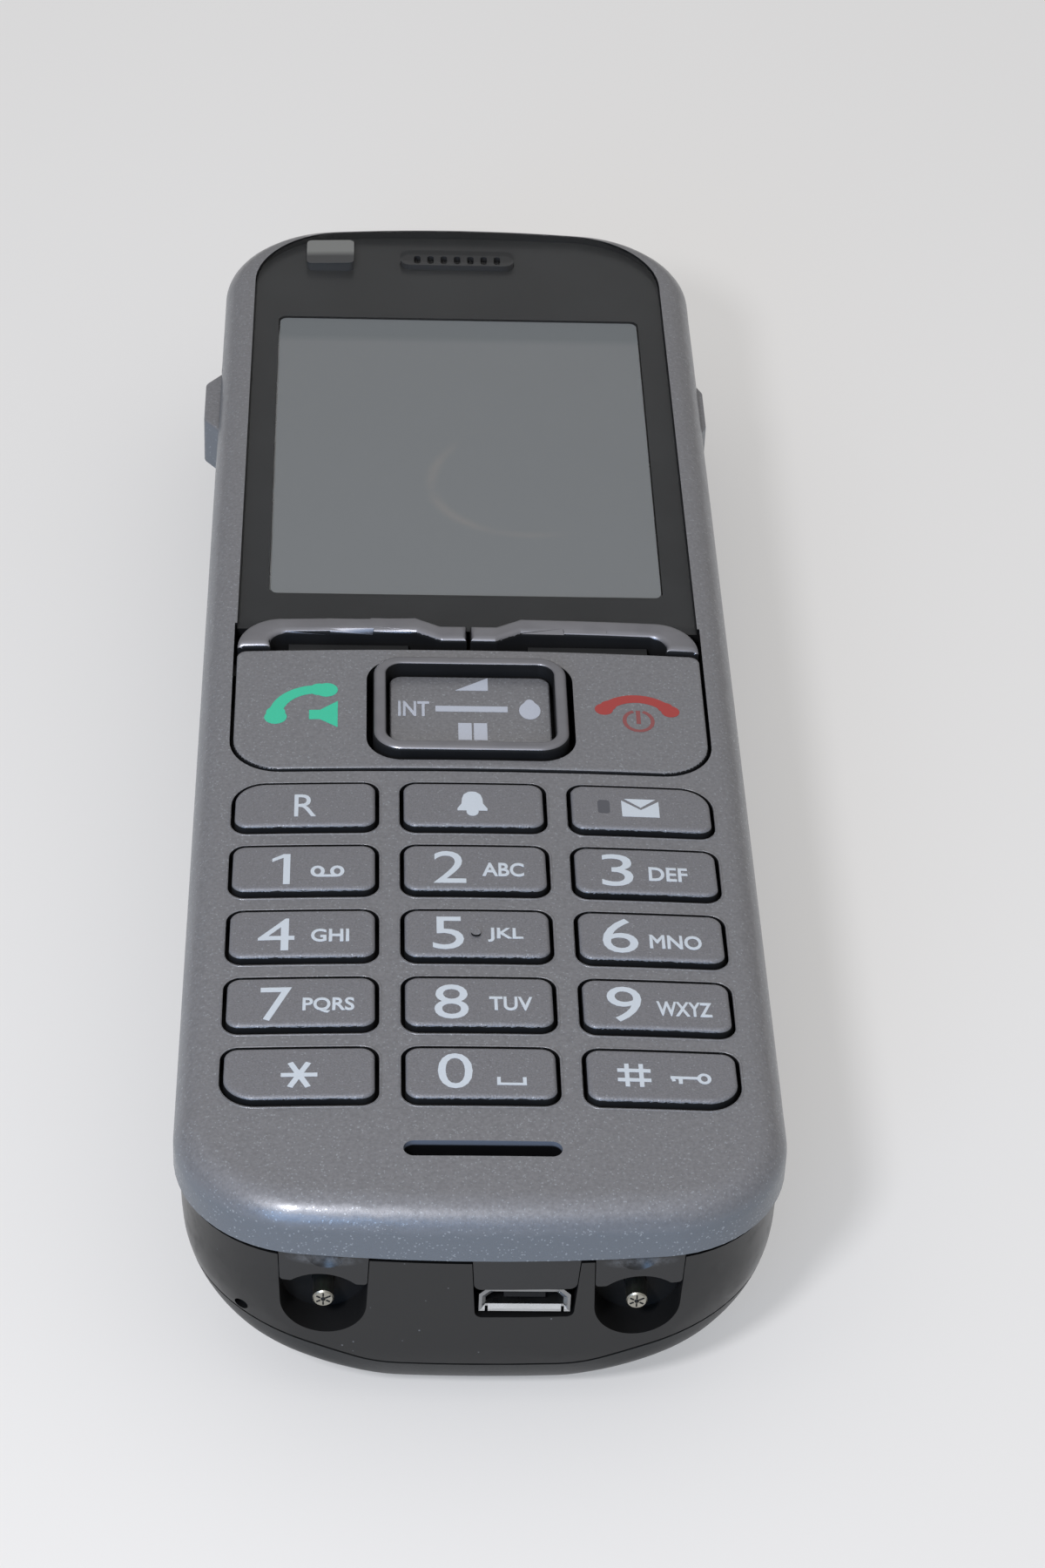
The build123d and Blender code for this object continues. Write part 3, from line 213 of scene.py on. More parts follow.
class Shader(Graph):
    """The node tree of one material."""

    def __init__(self, name: str) -> None:
        """Make an empty material.

        Args:
            name: The material's name.
        """
        self.material = bpy.data.materials.new(name)
        self.material.use_nodes = True
        self.tree = self.material.node_tree
        self.tree.nodes.clear()

    def place(self) -> NodeSocket:
        """Return the position in the handset's own frame, in metres."""
        return self.node("ShaderNodeTexCoord").outputs["Object"]

    def place_mm(self) -> tuple[Signal, Signal, Signal]:
        """Return x, y and z in the handset's own frame, in millimetres."""
        return tuple(part * (1 / MM) for part in self.split(self.place()))

    def noise(self, noise: Noise) -> Signal:
        """Lay a noise over the surface.

        Args:
            noise: Its size, its layers and the stretch that counts.

        Returns:
            The noise, from 0 to 1.
        """
        made = self.node("ShaderNodeTexNoise", {
            "Vector": self.place(), "Scale": 1 / (noise.blob_mm * MM), "Detail": noise.detail,
            "Roughness": noise.roughness}, noise_dimensions="3D")
        whole = Signal(self, made.outputs["Fac"])
        return whole if (noise.low, noise.high) == (0.0, 1.0) else self.ramp(whole, noise.low, noise.high)

    def cells(self, size_mm: float) -> tuple[Signal, Signal]:
        """Divide the surface into small cells.

        Args:
            size_mm: Size of one cell.

        Returns:
            A random number from 0 to 1 for each cell, and the distance from its middle in cell sizes.
        """
        values = {"Vector": self.place(), "Scale": 1 / (size_mm * MM)}
        made = self.node("ShaderNodeTexVoronoi", values, feature="F1")
        parts = self.node("ShaderNodeSeparateColor", {"Color": made.outputs["Color"]})
        return Signal(self, parts.outputs[0]), Signal(self, made.outputs["Distance"])

    def blend(self, share: object, first: object, second: object) -> NodeSocket:
        """Return a mix of two colours, of which share says how much the second counts."""
        made = self.node("ShaderNodeMix", {"Factor": share, "A": first, "B": second}, data_type="RGBA")
        return made.outputs["Result"]

    def ramp(self, signal: Signal, low: float, high: float) -> Signal:
        """Stretch a signal so that low becomes 0 and high becomes 1, clamped."""
        values = {"Value": signal, "From Min": low, "From Max": high}
        return Signal(self, self.node("ShaderNodeMapRange", values, clamp=True).outputs["Result"])

    def bump(self, height: Signal, depth_mm: float) -> NodeSocket:
        """Return a normal that is bent by a height, which runs from 0 to 1 over the depth."""
        values = {"Height": height, "Distance": depth_mm * MM, "Strength": 1.0}
        return self.node("ShaderNodeBump", values).outputs["Normal"]

    def principled(self, **values: object) -> NodeSocket:
        """Return a Principled shader, with underscores for the spaces in the names of its inputs."""
        named = {key.replace("_", " "): value for key, value in values.items()}
        return self.node("ShaderNodeBsdfPrincipled", named).outputs[0]

    def mixed(self, share: Signal, first: NodeSocket, second: NodeSocket) -> NodeSocket:
        """Return a mix of two shaders, of which share says how much the second counts."""
        return self.node("ShaderNodeMixShader", {0: share, 1: first, 2: second}).outputs[0]

    def finished(self, shader: NodeSocket) -> Material:
        """Lay a shader on the surface and return the material."""
        self.node("ShaderNodeOutputMaterial", {"Surface": shader})
        return self.material

    def surface(self, **values: object) -> Material:
        """Return the material with one Principled shader, whose inputs are named as in principled."""
        return self.finished(self.principled(**values))


class Recipe(Graph):
    """A tree of geometry nodes with named inputs for its sizes."""

    def __init__(self, name: str) -> None:
        """Make an empty tree.

        Args:
            name: The tree's name, which its piece gets too.
        """
        self.name = name
        self.tree = bpy.data.node_groups.new(name, "GeometryNodeTree")
        self.tree.interface.new_socket("Geometry", in_out="INPUT", socket_type="NodeSocketGeometry")
        self.tree.interface.new_socket("Geometry", in_out="OUTPUT", socket_type="NodeSocketGeometry")
        self.start = self.node("NodeGroupInput")
        self.sizes: dict[str, float] = {}

    def size(self, name: str, millimetres: float) -> Signal:
        """Add a named input and set it.

        Args:
            name: The input's name.
            millimetres: Its value.

        Returns:
            The size in metres, as a signal.
        """
        socket = self.tree.interface.new_socket(name, in_out="INPUT", socket_type="NodeSocketFloat")
        self.sizes[socket.identifier] = millimetres * MM
        return Signal(self, self.start.outputs[name])

    def tube(self, line: NodeSocket, radius: Signal, sides: int) -> NodeSocket:
        """Lay a round tube along a line.

        Args:
            line: The line.
            radius: The tube's radius.
            sides: How many flats go round it.

        Returns:
            The tube.
        """
        section = self.node("GeometryNodeCurvePrimitiveCircle", {"Resolution": sides, "Radius": radius})
        values = {"Curve": line, "Profile Curve": section.outputs["Curve"], "Fill Caps": True}
        return self.node("GeometryNodeCurveToMesh", values).outputs[0]

    def bake(self, shape: NodeSocket, material: Material) -> Object:
        """Run the tree once and keep its result as a plain mesh.

        Args:
            shape: The geometry that the tree has made.
            material: The material of all its faces.

        Returns:
            A new object with the result.
        """
        real = self.node("GeometryNodeRealizeInstances", {0: shape})
        smooth = self.node("GeometryNodeSetShadeSmooth", {0: real.outputs[0]})
        dressed = self.node("GeometryNodeSetMaterial", {0: smooth.outputs[0], "Material": material})
        self.node("NodeGroupOutput", {0: dressed.outputs[0]})
        holder = in_scene(self.name, bpy.data.meshes.new(self.name))
        maker = holder.modifiers.new(self.name, "NODES")
        maker.node_group = self.tree
        for identifier, value in self.sizes.items():
            maker[identifier] = value
        bpy.context.view_layer.update()
        seen = holder.evaluated_get(bpy.context.evaluated_depsgraph_get())
        result = bpy.data.meshes.new_from_object(seen)
        holder.modifiers.remove(maker)
        holder.data = result
        return holder


@dataclass(frozen=True)
class Lacquer:
    """Grey lacquer with metal flakes under a clear coat. Where it turns down its colour is darker and
    bluer, which is painted shade with a bluish painted reflection.
    """

    dark: Colour = linear(116, 116, 120)
    light: Colour = linear(131, 131, 135)
    steep: Colour = linear(98, 104, 112)
    steep_range: Point = (0.1, 0.75)
    flake: Colour = linear(196, 204, 212)
    flake_mm: float = 0.12
    flake_share: float = 0.96
    flake_strength: float = 0.25
    flake_polish: float = 0.12
    grain: Noise = Grain(0.3, 0.33, 0.67)
    grain_depth_mm: float = 0.004
    grain_roughness: float = 0.08
    metal: float = 0.35
    roughness: float = 0.4
    coat: float = 0.3
    coat_roughness: float = 0.16

    def build(self, name: str) -> Material:
        """Make the material.

        Args:
            name: The material's name.

        Returns:
            The material.
        """
        shader = Shader(name)
        cloud = shader.noise(self.grain)
        upward = shader.split(shader.node("ShaderNodeNewGeometry").outputs["Normal"])[2]
        # Painted shade: faces that turn down get the darker, bluer side colour, a painted shade with a
        # bluish painted reflection.
        flat = shader.ramp(upward, *self.steep_range)
        base = shader.blend(flat, self.steep, shader.blend(cloud, self.dark, self.light))
        spark = shader.cells(self.flake_mm)[0].above(self.flake_share)
        return shader.surface(
            Base_Color=shader.blend(spark * self.flake_strength, base, self.flake), Metallic=self.metal,
            Roughness=self.roughness + (cloud - 0.5) * self.grain_roughness - spark * self.flake_polish,
            Normal=shader.bump(cloud, self.grain_depth_mm),
            Coat_Weight=self.coat, Coat_Roughness=self.coat_roughness)


@dataclass(frozen=True)
class Moulded:
    """Moulded plastic or rubber with a fine texture from its mould and a few paler patches."""

    colour: Colour
    roughness: float = 0.35
    metal: float = 0.0
    shine: float = 0.5
    grain: Noise = Grain(0.25)
    grain_depth_mm: float = 0.004
    grain_roughness: float = 0.08
    patch: Noise = Noise(9.0, 0.4, 0.65)
    patch_gain: float = 1.35
    patch_lift: float = 0.003
    patch_share: float = 0.5
    patch_roughness: float = 0.06

    def build(self, name: str) -> Material:
        """Make the material.

        Args:
            name: The material's name.

        Returns:
            The material.
        """
        shader = Shader(name)
        grain = shader.noise(self.grain)
        patch = shader.noise(self.patch)
        other = scaled(self.colour, self.patch_gain, self.patch_lift)
        return shader.surface(
            Base_Color=shader.blend(patch * self.patch_share, self.colour, other), Metallic=self.metal,
            Roughness=self.roughness + patch * self.patch_roughness + (grain - 0.5) * self.grain_roughness,
            Normal=shader.bump(grain, self.grain_depth_mm), Specular_IOR_Level=self.shine)


@dataclass(frozen=True)
class Dusty:
    """Black plastic with hairline scratches and specks of dust, and at two places if asked a paler patch:
    scuffs with a painted sheen.
    """

    colour: Colour
    dust: Colour = linear(120, 122, 126)
    roughness: float = 0.28
    grain: Noise = Grain(0.4)
    grain_depth_mm: float = 0.0025
    scratch: Noise = Noise(2.2, 0.5, 0.72, 5.0, 0.7)
    scratch_roughness: float = 0.12
    dust_mm: float = 0.45
    dust_share: float = 0.988
    dust_edge: Point = (0.1, 0.22)
    dust_strength: float = 0.7
    dust_roughness: float = 0.4
    scuffs: Point | None = None
    scuff_half: Point = (1.0, 1.0)
    scuff_edge: Point = (0.55, 1.0)
    scuff_torn: Noise = Noise(0.7, 0.35, 0.7, 4.0, 0.7)
    scuff_strength: float = 0.45

    def build(self, name: str) -> Material:
        """Make the material.

        Args:
            name: The material's name.

        Returns:
            The material.
        """
        shader = Shader(name)
        scratch = shader.noise(self.scratch)
        chance, distance = shader.cells(self.dust_mm)
        near = 1 - shader.ramp(distance, *self.dust_edge)
        specks_and_sheen = chance.above(self.dust_share) * near * self.dust_strength
        # Scuffs and painted sheen: a paler patch on each tab top, partly scuff wear and partly a painted
        # sheen.
        if self.scuffs:
            x, _, height = shader.place_mm()
            across = (abs(x) - self.scuffs[0]) * (1 / self.scuff_half[0])
            along = (height - self.scuffs[1]) * (1 / self.scuff_half[1])
            worn_and_sheen = 1 - shader.ramp((across * across + along * along).root(), *self.scuff_edge)
            specks_and_sheen = specks_and_sheen + worn_and_sheen * shader.noise(self.scuff_torn) * self.scuff_strength
        return shader.surface(
            Base_Color=shader.blend(specks_and_sheen, self.colour, self.dust),
            Roughness=self.roughness + scratch * self.scratch_roughness + specks_and_sheen * self.dust_roughness,
            Normal=shader.bump(shader.noise(self.grain), self.grain_depth_mm))


@dataclass(frozen=True)
class Plated(Moulded):
    """Metal, or plastic with a thin layer of metal, with a little haze."""

    roughness: float = 0.3
    metal: float = 1.0
    grain: Noise = Noise(0.2)
    grain_depth_mm: float = 0.002
    grain_roughness: float = 0.0
    patch: Noise = Noise(4.0, 0.4, 0.7, 3.0)
    patch_gain: float = 0.86
    patch_lift: float = 0.0
    patch_share: float = 1.0
    patch_roughness: float = 0.08


@dataclass(frozen=True)
class Printed:
    """Printed or laser-cut mark with fine flecks."""

    colour: Colour
    roughness: float = 0.5
    fleck: Noise = Noise(0.12, 0.3, 0.8)
    fleck_gain: float = 0.85
    fleck_share: float = 0.5

    def build(self, name: str) -> Material:
        """Make the material.

        Args:
            name: The material's name.

        Returns:
            The material.
        """
        shader = Shader(name)
        share = shader.noise(self.fleck) * self.fleck_share
        toned = shader.blend(share, self.colour, scaled(self.colour, self.fleck_gain))
        return shader.surface(Base_Color=toned, Roughness=self.roughness)


@dataclass(frozen=True)
class Clear:
    """Clear plate: seen through, with the shine of its polished face, which grows towards a flat view."""

    edge_share: float = 0.9
    tint: Colour = (0.97, 0.975, 0.98)
    roughness: float = 0.03
    wipe: Noise = Noise(16.0, 0.5, 0.75, 4.0, 0.7)
    wipe_roughness: float = 0.06

    def build(self, name: str) -> Material:
        """Make the material.

        Args:
            name: The material's name.

        Returns:
            The material.
        """
        shader = Shader(name)
        haze = shader.noise(self.wipe) * self.wipe_roughness
        shine = shader.principled(Base_Color=(1.0, 1.0, 1.0), Metallic=1.0, Roughness=self.roughness + haze)
        through = shader.node("ShaderNodeBsdfTransparent", {"Color": self.tint}).outputs[0]
        facing = Signal(shader, shader.node("ShaderNodeLayerWeight").outputs["Facing"])
        squared = facing * facing
        return shader.finished(shader.mixed(squared * squared * facing * self.edge_share, through, shine))


@dataclass(frozen=True)
class DisplayFace:
    """Face of a display that is switched off, with its darker top band and a faint smear over it."""

    # Partly painted reflection: the face and the band are paler than the display itself, for part of the
    # lens's reflection over it.
    face: Colour = linear(124, 126, 127)
    band: Colour = linear(111, 115, 117)
    band_y: float = 55.4
    band_soft: float = 0.7
    smear: Colour = linear(136, 134, 131)
    smear_middle: Point = (9.2, 30.5)
    smear_half: Point = (12.2, 11.0)
    smear_lean: float = 0.216
    smear_width: float = 0.07
    smear_right: Point = (-0.2, 0.35)
    smear_top: Point = (0.65, 0.85)
    smear_strength: float = 0.9
    smear_torn: Noise = Grain(5.0, 0.38, 0.62)
    patch: Noise = Noise(22.0, 0.3, 0.7)
    patch_roughness: float = 0.1
    roughness: float = 0.3

    def build(self, name: str) -> Material:
        """Make the material.

        Args:
            name: The material's name.

        Returns:
            The material.
        """
        shader = Shader(name)
        x, y, _ = shader.place_mm()
        patch = shader.noise(self.patch)
        in_band = shader.ramp(y, self.band_y - self.band_soft, self.band_y + self.band_soft)
        above = y - self.smear_middle[1]
        across = (x - self.smear_middle[0] - above * self.smear_lean) * (1 / self.smear_half[0])
        along = above * (1 / self.smear_half[1])
        off_ring = abs((across * across + along * along).root() - 1)
        ring = 1 - shader.ramp(off_ring, 0.0, self.smear_width)
        kept = (1 - shader.ramp(across, *self.smear_right)) * (1 - shader.ramp(along, *self.smear_top))
        smeared = ring * kept * shader.noise(self.smear_torn) * self.smear_strength
        return shader.surface(
            Base_Color=shader.blend(smeared, shader.blend(in_band, self.face, self.band), self.smear),
            Roughness=self.roughness + patch * self.patch_roughness)


class Axis(Enum):
    """Directions in the handset's frame, each with its place in a vector."""

    ALONG = 1
    UP = 2


@dataclass(frozen=True)
class Parted:
    """Finish of two colours that meet at a line across the piece."""

    low: Colour
    high: Colour
    axis: Axis
    edge: float
    soft: float = 0.15
    roughness: float = 0.3
    shine: float = 0.5
    fleck: Noise = Noise(0.3)
    fleck_roughness: float = 0.1

    def build(self, name: str) -> Material:
        """Make the material.

        Args:
            name: The material's name.

        Returns:
            The material.
        """
        shader = Shader(name)
        place = shader.place_mm()[self.axis.value]
        share = shader.ramp(place, self.edge - self.soft, self.edge + self.soft)
        return shader.surface(
            Base_Color=shader.blend(share, self.low, self.high),
            Roughness=self.roughness + shader.noise(self.fleck) * self.fleck_roughness,
            Specular_IOR_Level=self.shine)


@dataclass(frozen=True)
class TableTop:
    """Plain pale table, which looks a little whiter than the light that it throws back."""

    colour: Colour = linear(238, 236, 234)
    seen: Colour = linear(230, 230, 231)
    seen_share: float = 0.42
    roughness: float = 0.7
    patch: Noise = Noise(140.0)
    patch_gain: float = 0.985

    def build(self, name: str) -> Material:
        """Make the material.

        Args:
            name: The material's name.

        Returns:
            The material.
        """
        shader = Shader(name)
        toned = shader.blend(shader.noise(self.patch), self.colour, scaled(self.colour, self.patch_gain))
        lit = shader.principled(Base_Color=toned, Roughness=self.roughness)
        path = shader.node("ShaderNodeLightPath").outputs
        rays = sum(Signal(shader, path[f"Is {kind} Ray"]) for kind in ("Camera", "Glossy", "Transmission"))
        glow = shader.node("ShaderNodeEmission", {"Color": self.seen}).outputs[0]
        return shader.finished(shader.mixed(rays * self.seen_share, lit, glow))


class Finish(Enum):
    """The finishes of the handset's pieces."""

    LACQUER = Lacquer()
    KEY_FACE = Lacquer(linear(115, 115, 120), linear(134, 134, 139), flake_share=0.985,
                       grain=Grain(0.17, 0.33, 0.67), grain_depth_mm=0.02, roughness=0.44, coat=0.2)
    SHELL = Dusty((0.0065, 0.0067, 0.007), dust_share=0.982)
    DOOR = Moulded((0.012, 0.0125, 0.0125), roughness=0.42, grain=Grain(0.3), grain_depth_mm=0.012)
    # The paler patches at the tab tops are partly scuffs and partly a painted sheen.
    INSERT = Dusty((0.011, 0.0112, 0.012), roughness=0.3, scuffs=(12.87, 17.0), scuff_half=(3.3, 0.8))
    # Painted shade: the contact wells and the socket's notch get a darker, duller black than the housing,
    # for the shade deep inside them.
    WELL = Moulded((0.0035, 0.0035, 0.0037), roughness=0.6, grain_depth_mm=0.0, shine=0.3)
    BLACK = Moulded((0.0085, 0.0087, 0.0095), roughness=0.5, shine=0.18)
    # Partly painted reflection: the ink is paler than its black alone, standing in for part of the lens's
    # reflection over it.
    INK = Moulded((0.023, 0.0235, 0.0245), roughness=0.3, grain_depth_mm=0.0, shine=0.24)
    MESH = Moulded((0.02, 0.0205, 0.022), roughness=0.5)
    RUBBER = Moulded((0.02, 0.02, 0.021), roughness=0.6, grain=Grain(0.15), grain_depth_mm=0.006)
    SILVER = Plated((0.27, 0.27, 0.295), metal=0.85, roughness=0.34)
    STEEL = Plated((0.52, 0.53, 0.54), roughness=0.26)
    # Painted shade: the upper part of the socket's front rim is a darker copy of the steel.
    RIM = Plated((0.3, 0.305, 0.31), roughness=0.35)
    NICKEL = Plated((0.4, 0.385, 0.335), roughness=0.34)
    BRASS = Plated((0.75, 0.6, 0.35), roughness=0.3)
    CLEAR = Clear()
    CLEAR_BACK = Clear(edge_share=0.0)
    DISPLAY = DisplayFace()
    # Painted shadow: the lamp window's lower strip is dark, for the shadow under its light patch.
    LAMP = Parted(linear(56, 57, 59), linear(122, 123, 121), Axis.ALONG, edge=71.0, soft=0.5)
    # Painted shade and reflection: the microphone slot's walls are near black below the line, for the shade
    # deep in the slot, and bluish grey above it, the lacquer with a painted bluish reflection.
    SLOT_WALL = Parted(linear(14, 14, 16), linear(100, 107, 120), Axis.UP, edge=22.5, soft=0.08,
                       roughness=0.5, shine=0.15)
    MESSAGE_LAMP = Printed(linear(80, 81, 88), roughness=0.3)
    LEGEND = Printed(linear(203, 211, 220))
    NAV_LEGEND = Printed(linear(184, 189, 201))
    GREEN = Printed(linear(58, 196, 158))
    RED = Printed(linear(164, 58, 55))
    DARK_RED = Printed(linear(140, 76, 76))
    BOARD = Moulded((0.01, 0.09, 0.035), roughness=0.35)
    AMBER = Moulded((0.42, 0.19, 0.03), roughness=0.35)
    FILM = Moulded((0.03, 0.03, 0.032), roughness=0.4)
    SLEEVE = Moulded((0.06, 0.16, 0.32), roughness=0.3)
    TABLE = TableTop()


class Palette:
    """Makes each finish's material once."""

    def __init__(self) -> None:
        """Start with no materials."""
        self.made: dict[Finish, Material] = {}

    def __getitem__(self, finish: Finish) -> Material:
        """Look up a finish.

        Args:
            finish: The finish.

        Returns:
            Its material, which is made at the first call.
        """
        if finish not in self.made:
            self.made[finish] = finish.value.build(finish.name.lower())
        return self.made[finish]


@dataclass(frozen=True)
class Body:
    """Sizes of the handset that the pieces here share with its solids, in millimetres."""

    depth: float = 23.0
    crown: float = 500.0
    column_pitch: float = 15.1
    row_pitch: float = 8.95
    first_row: float = -61.45
    opening_width: float = 13.3
    opening_height: float = 7.3
    opening_corner: float = 1.55
    grid_corner: float = 3.1
    key_proud: float = 0.47
    key_lean: float = 3.5
    panel_proud: float = 0.2
    nav_top: float = 22.75
    mic_slot_y: float = -70.2
    ear_slot_y: float = 70.6
    contact_x: float = 12.87
    pin_radius: float = 0.875
    socket_x: float = 3.6

    def crown_drop(self, x: float) -> float:
        """Return how far the crowned front lies below its middle at x."""
        return self.crown - sqrt(self.crown**2 - x**2)

    def key_middle(self, column: int, row: int) -> Point:
        """Return the middle of a key, with column 0 in the middle and row 0 lowest."""
        return (column * self.column_pitch, self.first_row + row * self.row_pitch)

    def key_face(self, row: int) -> Surface:
        """Return the height of the leaning key faces of one row, as a function of x and y."""
        middle, lean = self.key_middle(0, row)[1], tan(radians(self.key_lean))
        return lambda x, y: self.depth + self.key_proud - self.crown_drop(x) - (y - middle) * lean

    def panel(self, x: float, y: float) -> float:
        """Return the height of the call and end panel."""
        return self.depth + self.panel_proud - self.crown_drop(x)

    def nav(self, x: float, y: float) -> float:
        """Return the height of the four-way key's plate."""
        return self.nav_top


def top_or_side(upward: float, height: float) -> Choice:
    """Choose the first finish for faces that look up above a height, and the second for the rest."""
    return lambda middle, way: 0 if way.z > upward and middle.z > height else 1


@dataclass
class SubAssembly:
    """One group of pieces. It dresses its CAD nodes and adds what the solids leave out."""

    frame: dict
    palette: Palette
    body: Body
    weld: float = 0.0005

    def __post_init__(self) -> None:
        """Look up the body and the slot of each node."""
        record = self.frame["record"]
        bodies = record["behaviour"]["bodies"]
        self.riders = {node: name for name, nodes in bodies.items() for node in nodes}
        self.slots = {part["node"]: part["material_slot"] for part in record["subparts"]}

    def paint(self, node: str, finish: Finish) -> None:
        """Give a CAD node a finish and leave its mesh as it is.

        Args:
            node: The CAD node.
            finish: Its finish.
        """
        shown = self.frame["nodes"][node]
        shown.data.materials.clear()
        shown.data.materials.append(self.palette[finish])
        LOG.info("painted %s: %s", node, finish.name.lower())

    def skin(self, node: str, finishes: Sequence[Finish], choose: Choice | None = None,
             sharp: float = 30.0) -> Object:
        """Show a smooth copy of a CAD node in its place.

        Args:
            node: The CAD node.
            finishes: The finishes of its faces.
            choose: Which finish a face gets, from its middle and its direction.
            sharp: Edges over this many degrees stay sharp.

        Returns:
            The copy.
        """
        mesh = self.frame["nodes"][node].data.copy()
        mesh.name = f"{node}_skin"
        # The materials come first, because clearing them later would undo the choice of each face
        mesh.materials.clear()
        for finish in finishes:
            mesh.materials.append(self.palette[finish])
        form = bmesh.new()
        form.from_mesh(mesh)
        bmesh.ops.remove_doubles(form, verts=form.verts, dist=self.weld * MM)
        for face in form.faces:
            face.smooth = True
            face.material_index = choose(face.calc_center_median() / MM, face.normal) if choose else 0
        form.to_mesh(mesh)
        form.free()
        if "custom_normal" in mesh.attributes:
            mesh.attributes.remove(mesh.attributes["custom_normal"])
        mesh.set_sharp_from_angle(angle=radians(sharp))
        copy = in_scene(f"{node}_skin", mesh)
        evened = copy.modifiers.new("evened_shading", "WEIGHTED_NORMAL")
        evened.keep_sharp = True
        self.seat(copy, node)
        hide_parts(node)
        return copy

    def seat(self, piece: Object, node: str) -> Object:
        """Fix a finished piece to the body of a node.

        Args:
            piece: The piece.
            node: The node that it goes with.

        Returns:
            The piece.
        """
        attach(piece, self.riders[node])
        self.slots[node]
        LOG.info("placed %s with %s", piece.name, node)
        return piece

    def add(self, name: str, form: BMesh, finish: Finish, node: str) -> Object:
        """Turn a bmesh in millimetres into a piece.

        Args:
            name: The piece's name.
            form: Its geometry, which is freed.
            finish: Its finish.
            node: The node that it goes with.

        Returns:
            The new object.
        """
        bmesh.ops.scale(form, vec=(MM, MM, MM), verts=form.verts)
        bmesh.ops.recalc_face_normals(form, faces=form.faces)
        mesh = bpy.data.meshes.new(name)
        form.to_mesh(mesh)
        form.free()
        mesh.materials.append(self.palette[finish])
        return self.seat(in_scene(name, mesh), node)


@dataclass
class Mark:
    """Flat printed mark, drawn with discs, rings, strokes and outlines, in millimetres."""

    loops: list[tuple[int, list[Point]]] = field(default_factory=list)
    layer: int = 0
    layer_step: float = 0.001
    arc_steps: int = 20
    mitre_limit: float = 0.35

    def outline(self, points: Sequence[Point], same_layer: bool = False) -> "Mark":
        """Add a filled outline, on the last layer or a hair above it.

        Args:
            points: Its corners.
            same_layer: True to stay on the last layer.

        Returns:
            The mark itself.
        """
        self.layer += 0 if same_layer else 1
        self.loops.append((self.layer, list(points)))
        return self

    def oblong(self, left: float, right: float, low: float, high: float) -> "Mark":
        """Add a filled oblong between its four sides."""
        return self.outline([(left, low), (right, low), (right, high), (left, high)])

    def disc(self, x: float, y: float, radius: float, squash: float = 1.0) -> "Mark":
        """Add a filled disc, or an ellipse whose height is squash times its width."""
        turns = [2 * pi * step / self.arc_steps for step in range(self.arc_steps)]
        return self.outline([(x + radius * cos(turn), y + squash * radius * sin(turn)) for turn in turns])

    def stroke(self, points: Sequence[Point], width: float, closed: bool = False) -> "Mark":
        """Add a line of even width through points, mitred at its bends.

        Args:
            points: The line's points.
            width: Its width.
            closed: True if it returns to its first point.

        Returns:
            The mark itself.
        """
        count = len(points)
        sides: list[tuple[Point, Point]] = []
        for index, (x, y) in enumerate(points):
            before = points[index - 1] if index or closed else (x, y)
            after = points[(index + 1) % count] if index < count - 1 or closed else (x, y)
            ways = [Vector((x - before[0], y - before[1])), Vector((after[0] - x, after[1] - y))]
            units = [way.normalized() for way in ways if way.length]
            middle = sum(units, Vector((0.0, 0.0))).normalized()
            reach = width / 2 / max(self.mitre_limit, middle.dot(units[0]))
            across = Vector((-middle.y, middle.x)) * reach
            sides.append(((x + across.x, y + across.y), (x - across.x, y - across.y)))
        for index in range(count if closed else count - 1):
            (a, b), (c, d) = sides[index], sides[(index + 1) % count]
            self.outline([a, b, d, c], index > 0)
        return self

    def arc(self, x: float, y: float, radius: float, start: float, end: float, width: float,
            squash: float = 1.0, closed: bool = False) -> "Mark":
        """Add a stretch of a ring.

        Args:
            x: Where the ring's middle lies across.
            y: Where it lies along.
            radius: Radius of the line's middle.
            start: Angle at which it starts.
            end: Angle at which it ends.
            width: The line's width.
            squash: Height of the ring over its width.
            closed: True for the whole ring.

        Returns:
            The mark itself.
        """
        steps = self.arc_steps + (0 if closed else 1)
        turns = [start + (end - start) * step / self.arc_steps for step in range(steps)]
        points = [(x + radius * cos(turn), y + squash * radius * sin(turn)) for turn in turns]
        return self.stroke(points, width, closed)

    def ring(self, x: float, y: float, radius: float, width: float, squash: float = 1.0) -> "Mark":
        """Add a whole ring."""
        return self.arc(x, y, radius, 0.0, 2 * pi, width, squash, True)

    def build(self, top: Surface, place: Point = (0.0, 0.0)) -> BMesh:
        """Lay the mark on a surface.

        Args:
            top: Height of the surface at x and y.
            place: Where the point lies that the mark was drawn from.

        Returns:
            The mark's geometry in millimetres.
        """
        form = bmesh.new()
        for layer, loop in self.loops:
            lift = MARK_THICKNESS / 2 + layer * self.layer_step
            points = [(x + place[0], y + place[1]) for x, y in loop]
            upper = [form.verts.new((x, y, top(x, y) + lift)) for x, y in points]
            lower = [form.verts.new((x, y, top(x, y) - lift)) for x, y in points]
            form.faces.new(upper)
            form.faces.new(list(reversed(lower)))
            for index in range(len(loop)):
                after = (index + 1) % len(loop)
                form.faces.new((upper[index], lower[index], lower[after], upper[after]))
        return form


def digit_one() -> Mark:
    """Draw a plain one, a stem with a short flag.

    Returns:
        The mark.
    """
    left, right, flag = -1.8, -1.2, -2.8
    low, high = -2.64, 1.84
    return Mark().outline([(flag, 0.7), (flag, 1.15), (left, high), (right, high), (right, low),
                           (left, low), (left, 1.3)])


def tape_loops(line: float) -> Mark:
    """Draw the two loops of an answering machine, joined below.

    Args:
        line: Width of a line.

    Returns:
        The mark.
    """
    left, right, middle, foot = 1.22, 2.94, -0.78, -1.44
    radius, squash = 0.46, 1.4
    mark = Mark().ring(left, middle, radius, line, squash).ring(right, middle, radius, line, squash)
    return mark.stroke([(left, foot), (right, foot)], line)


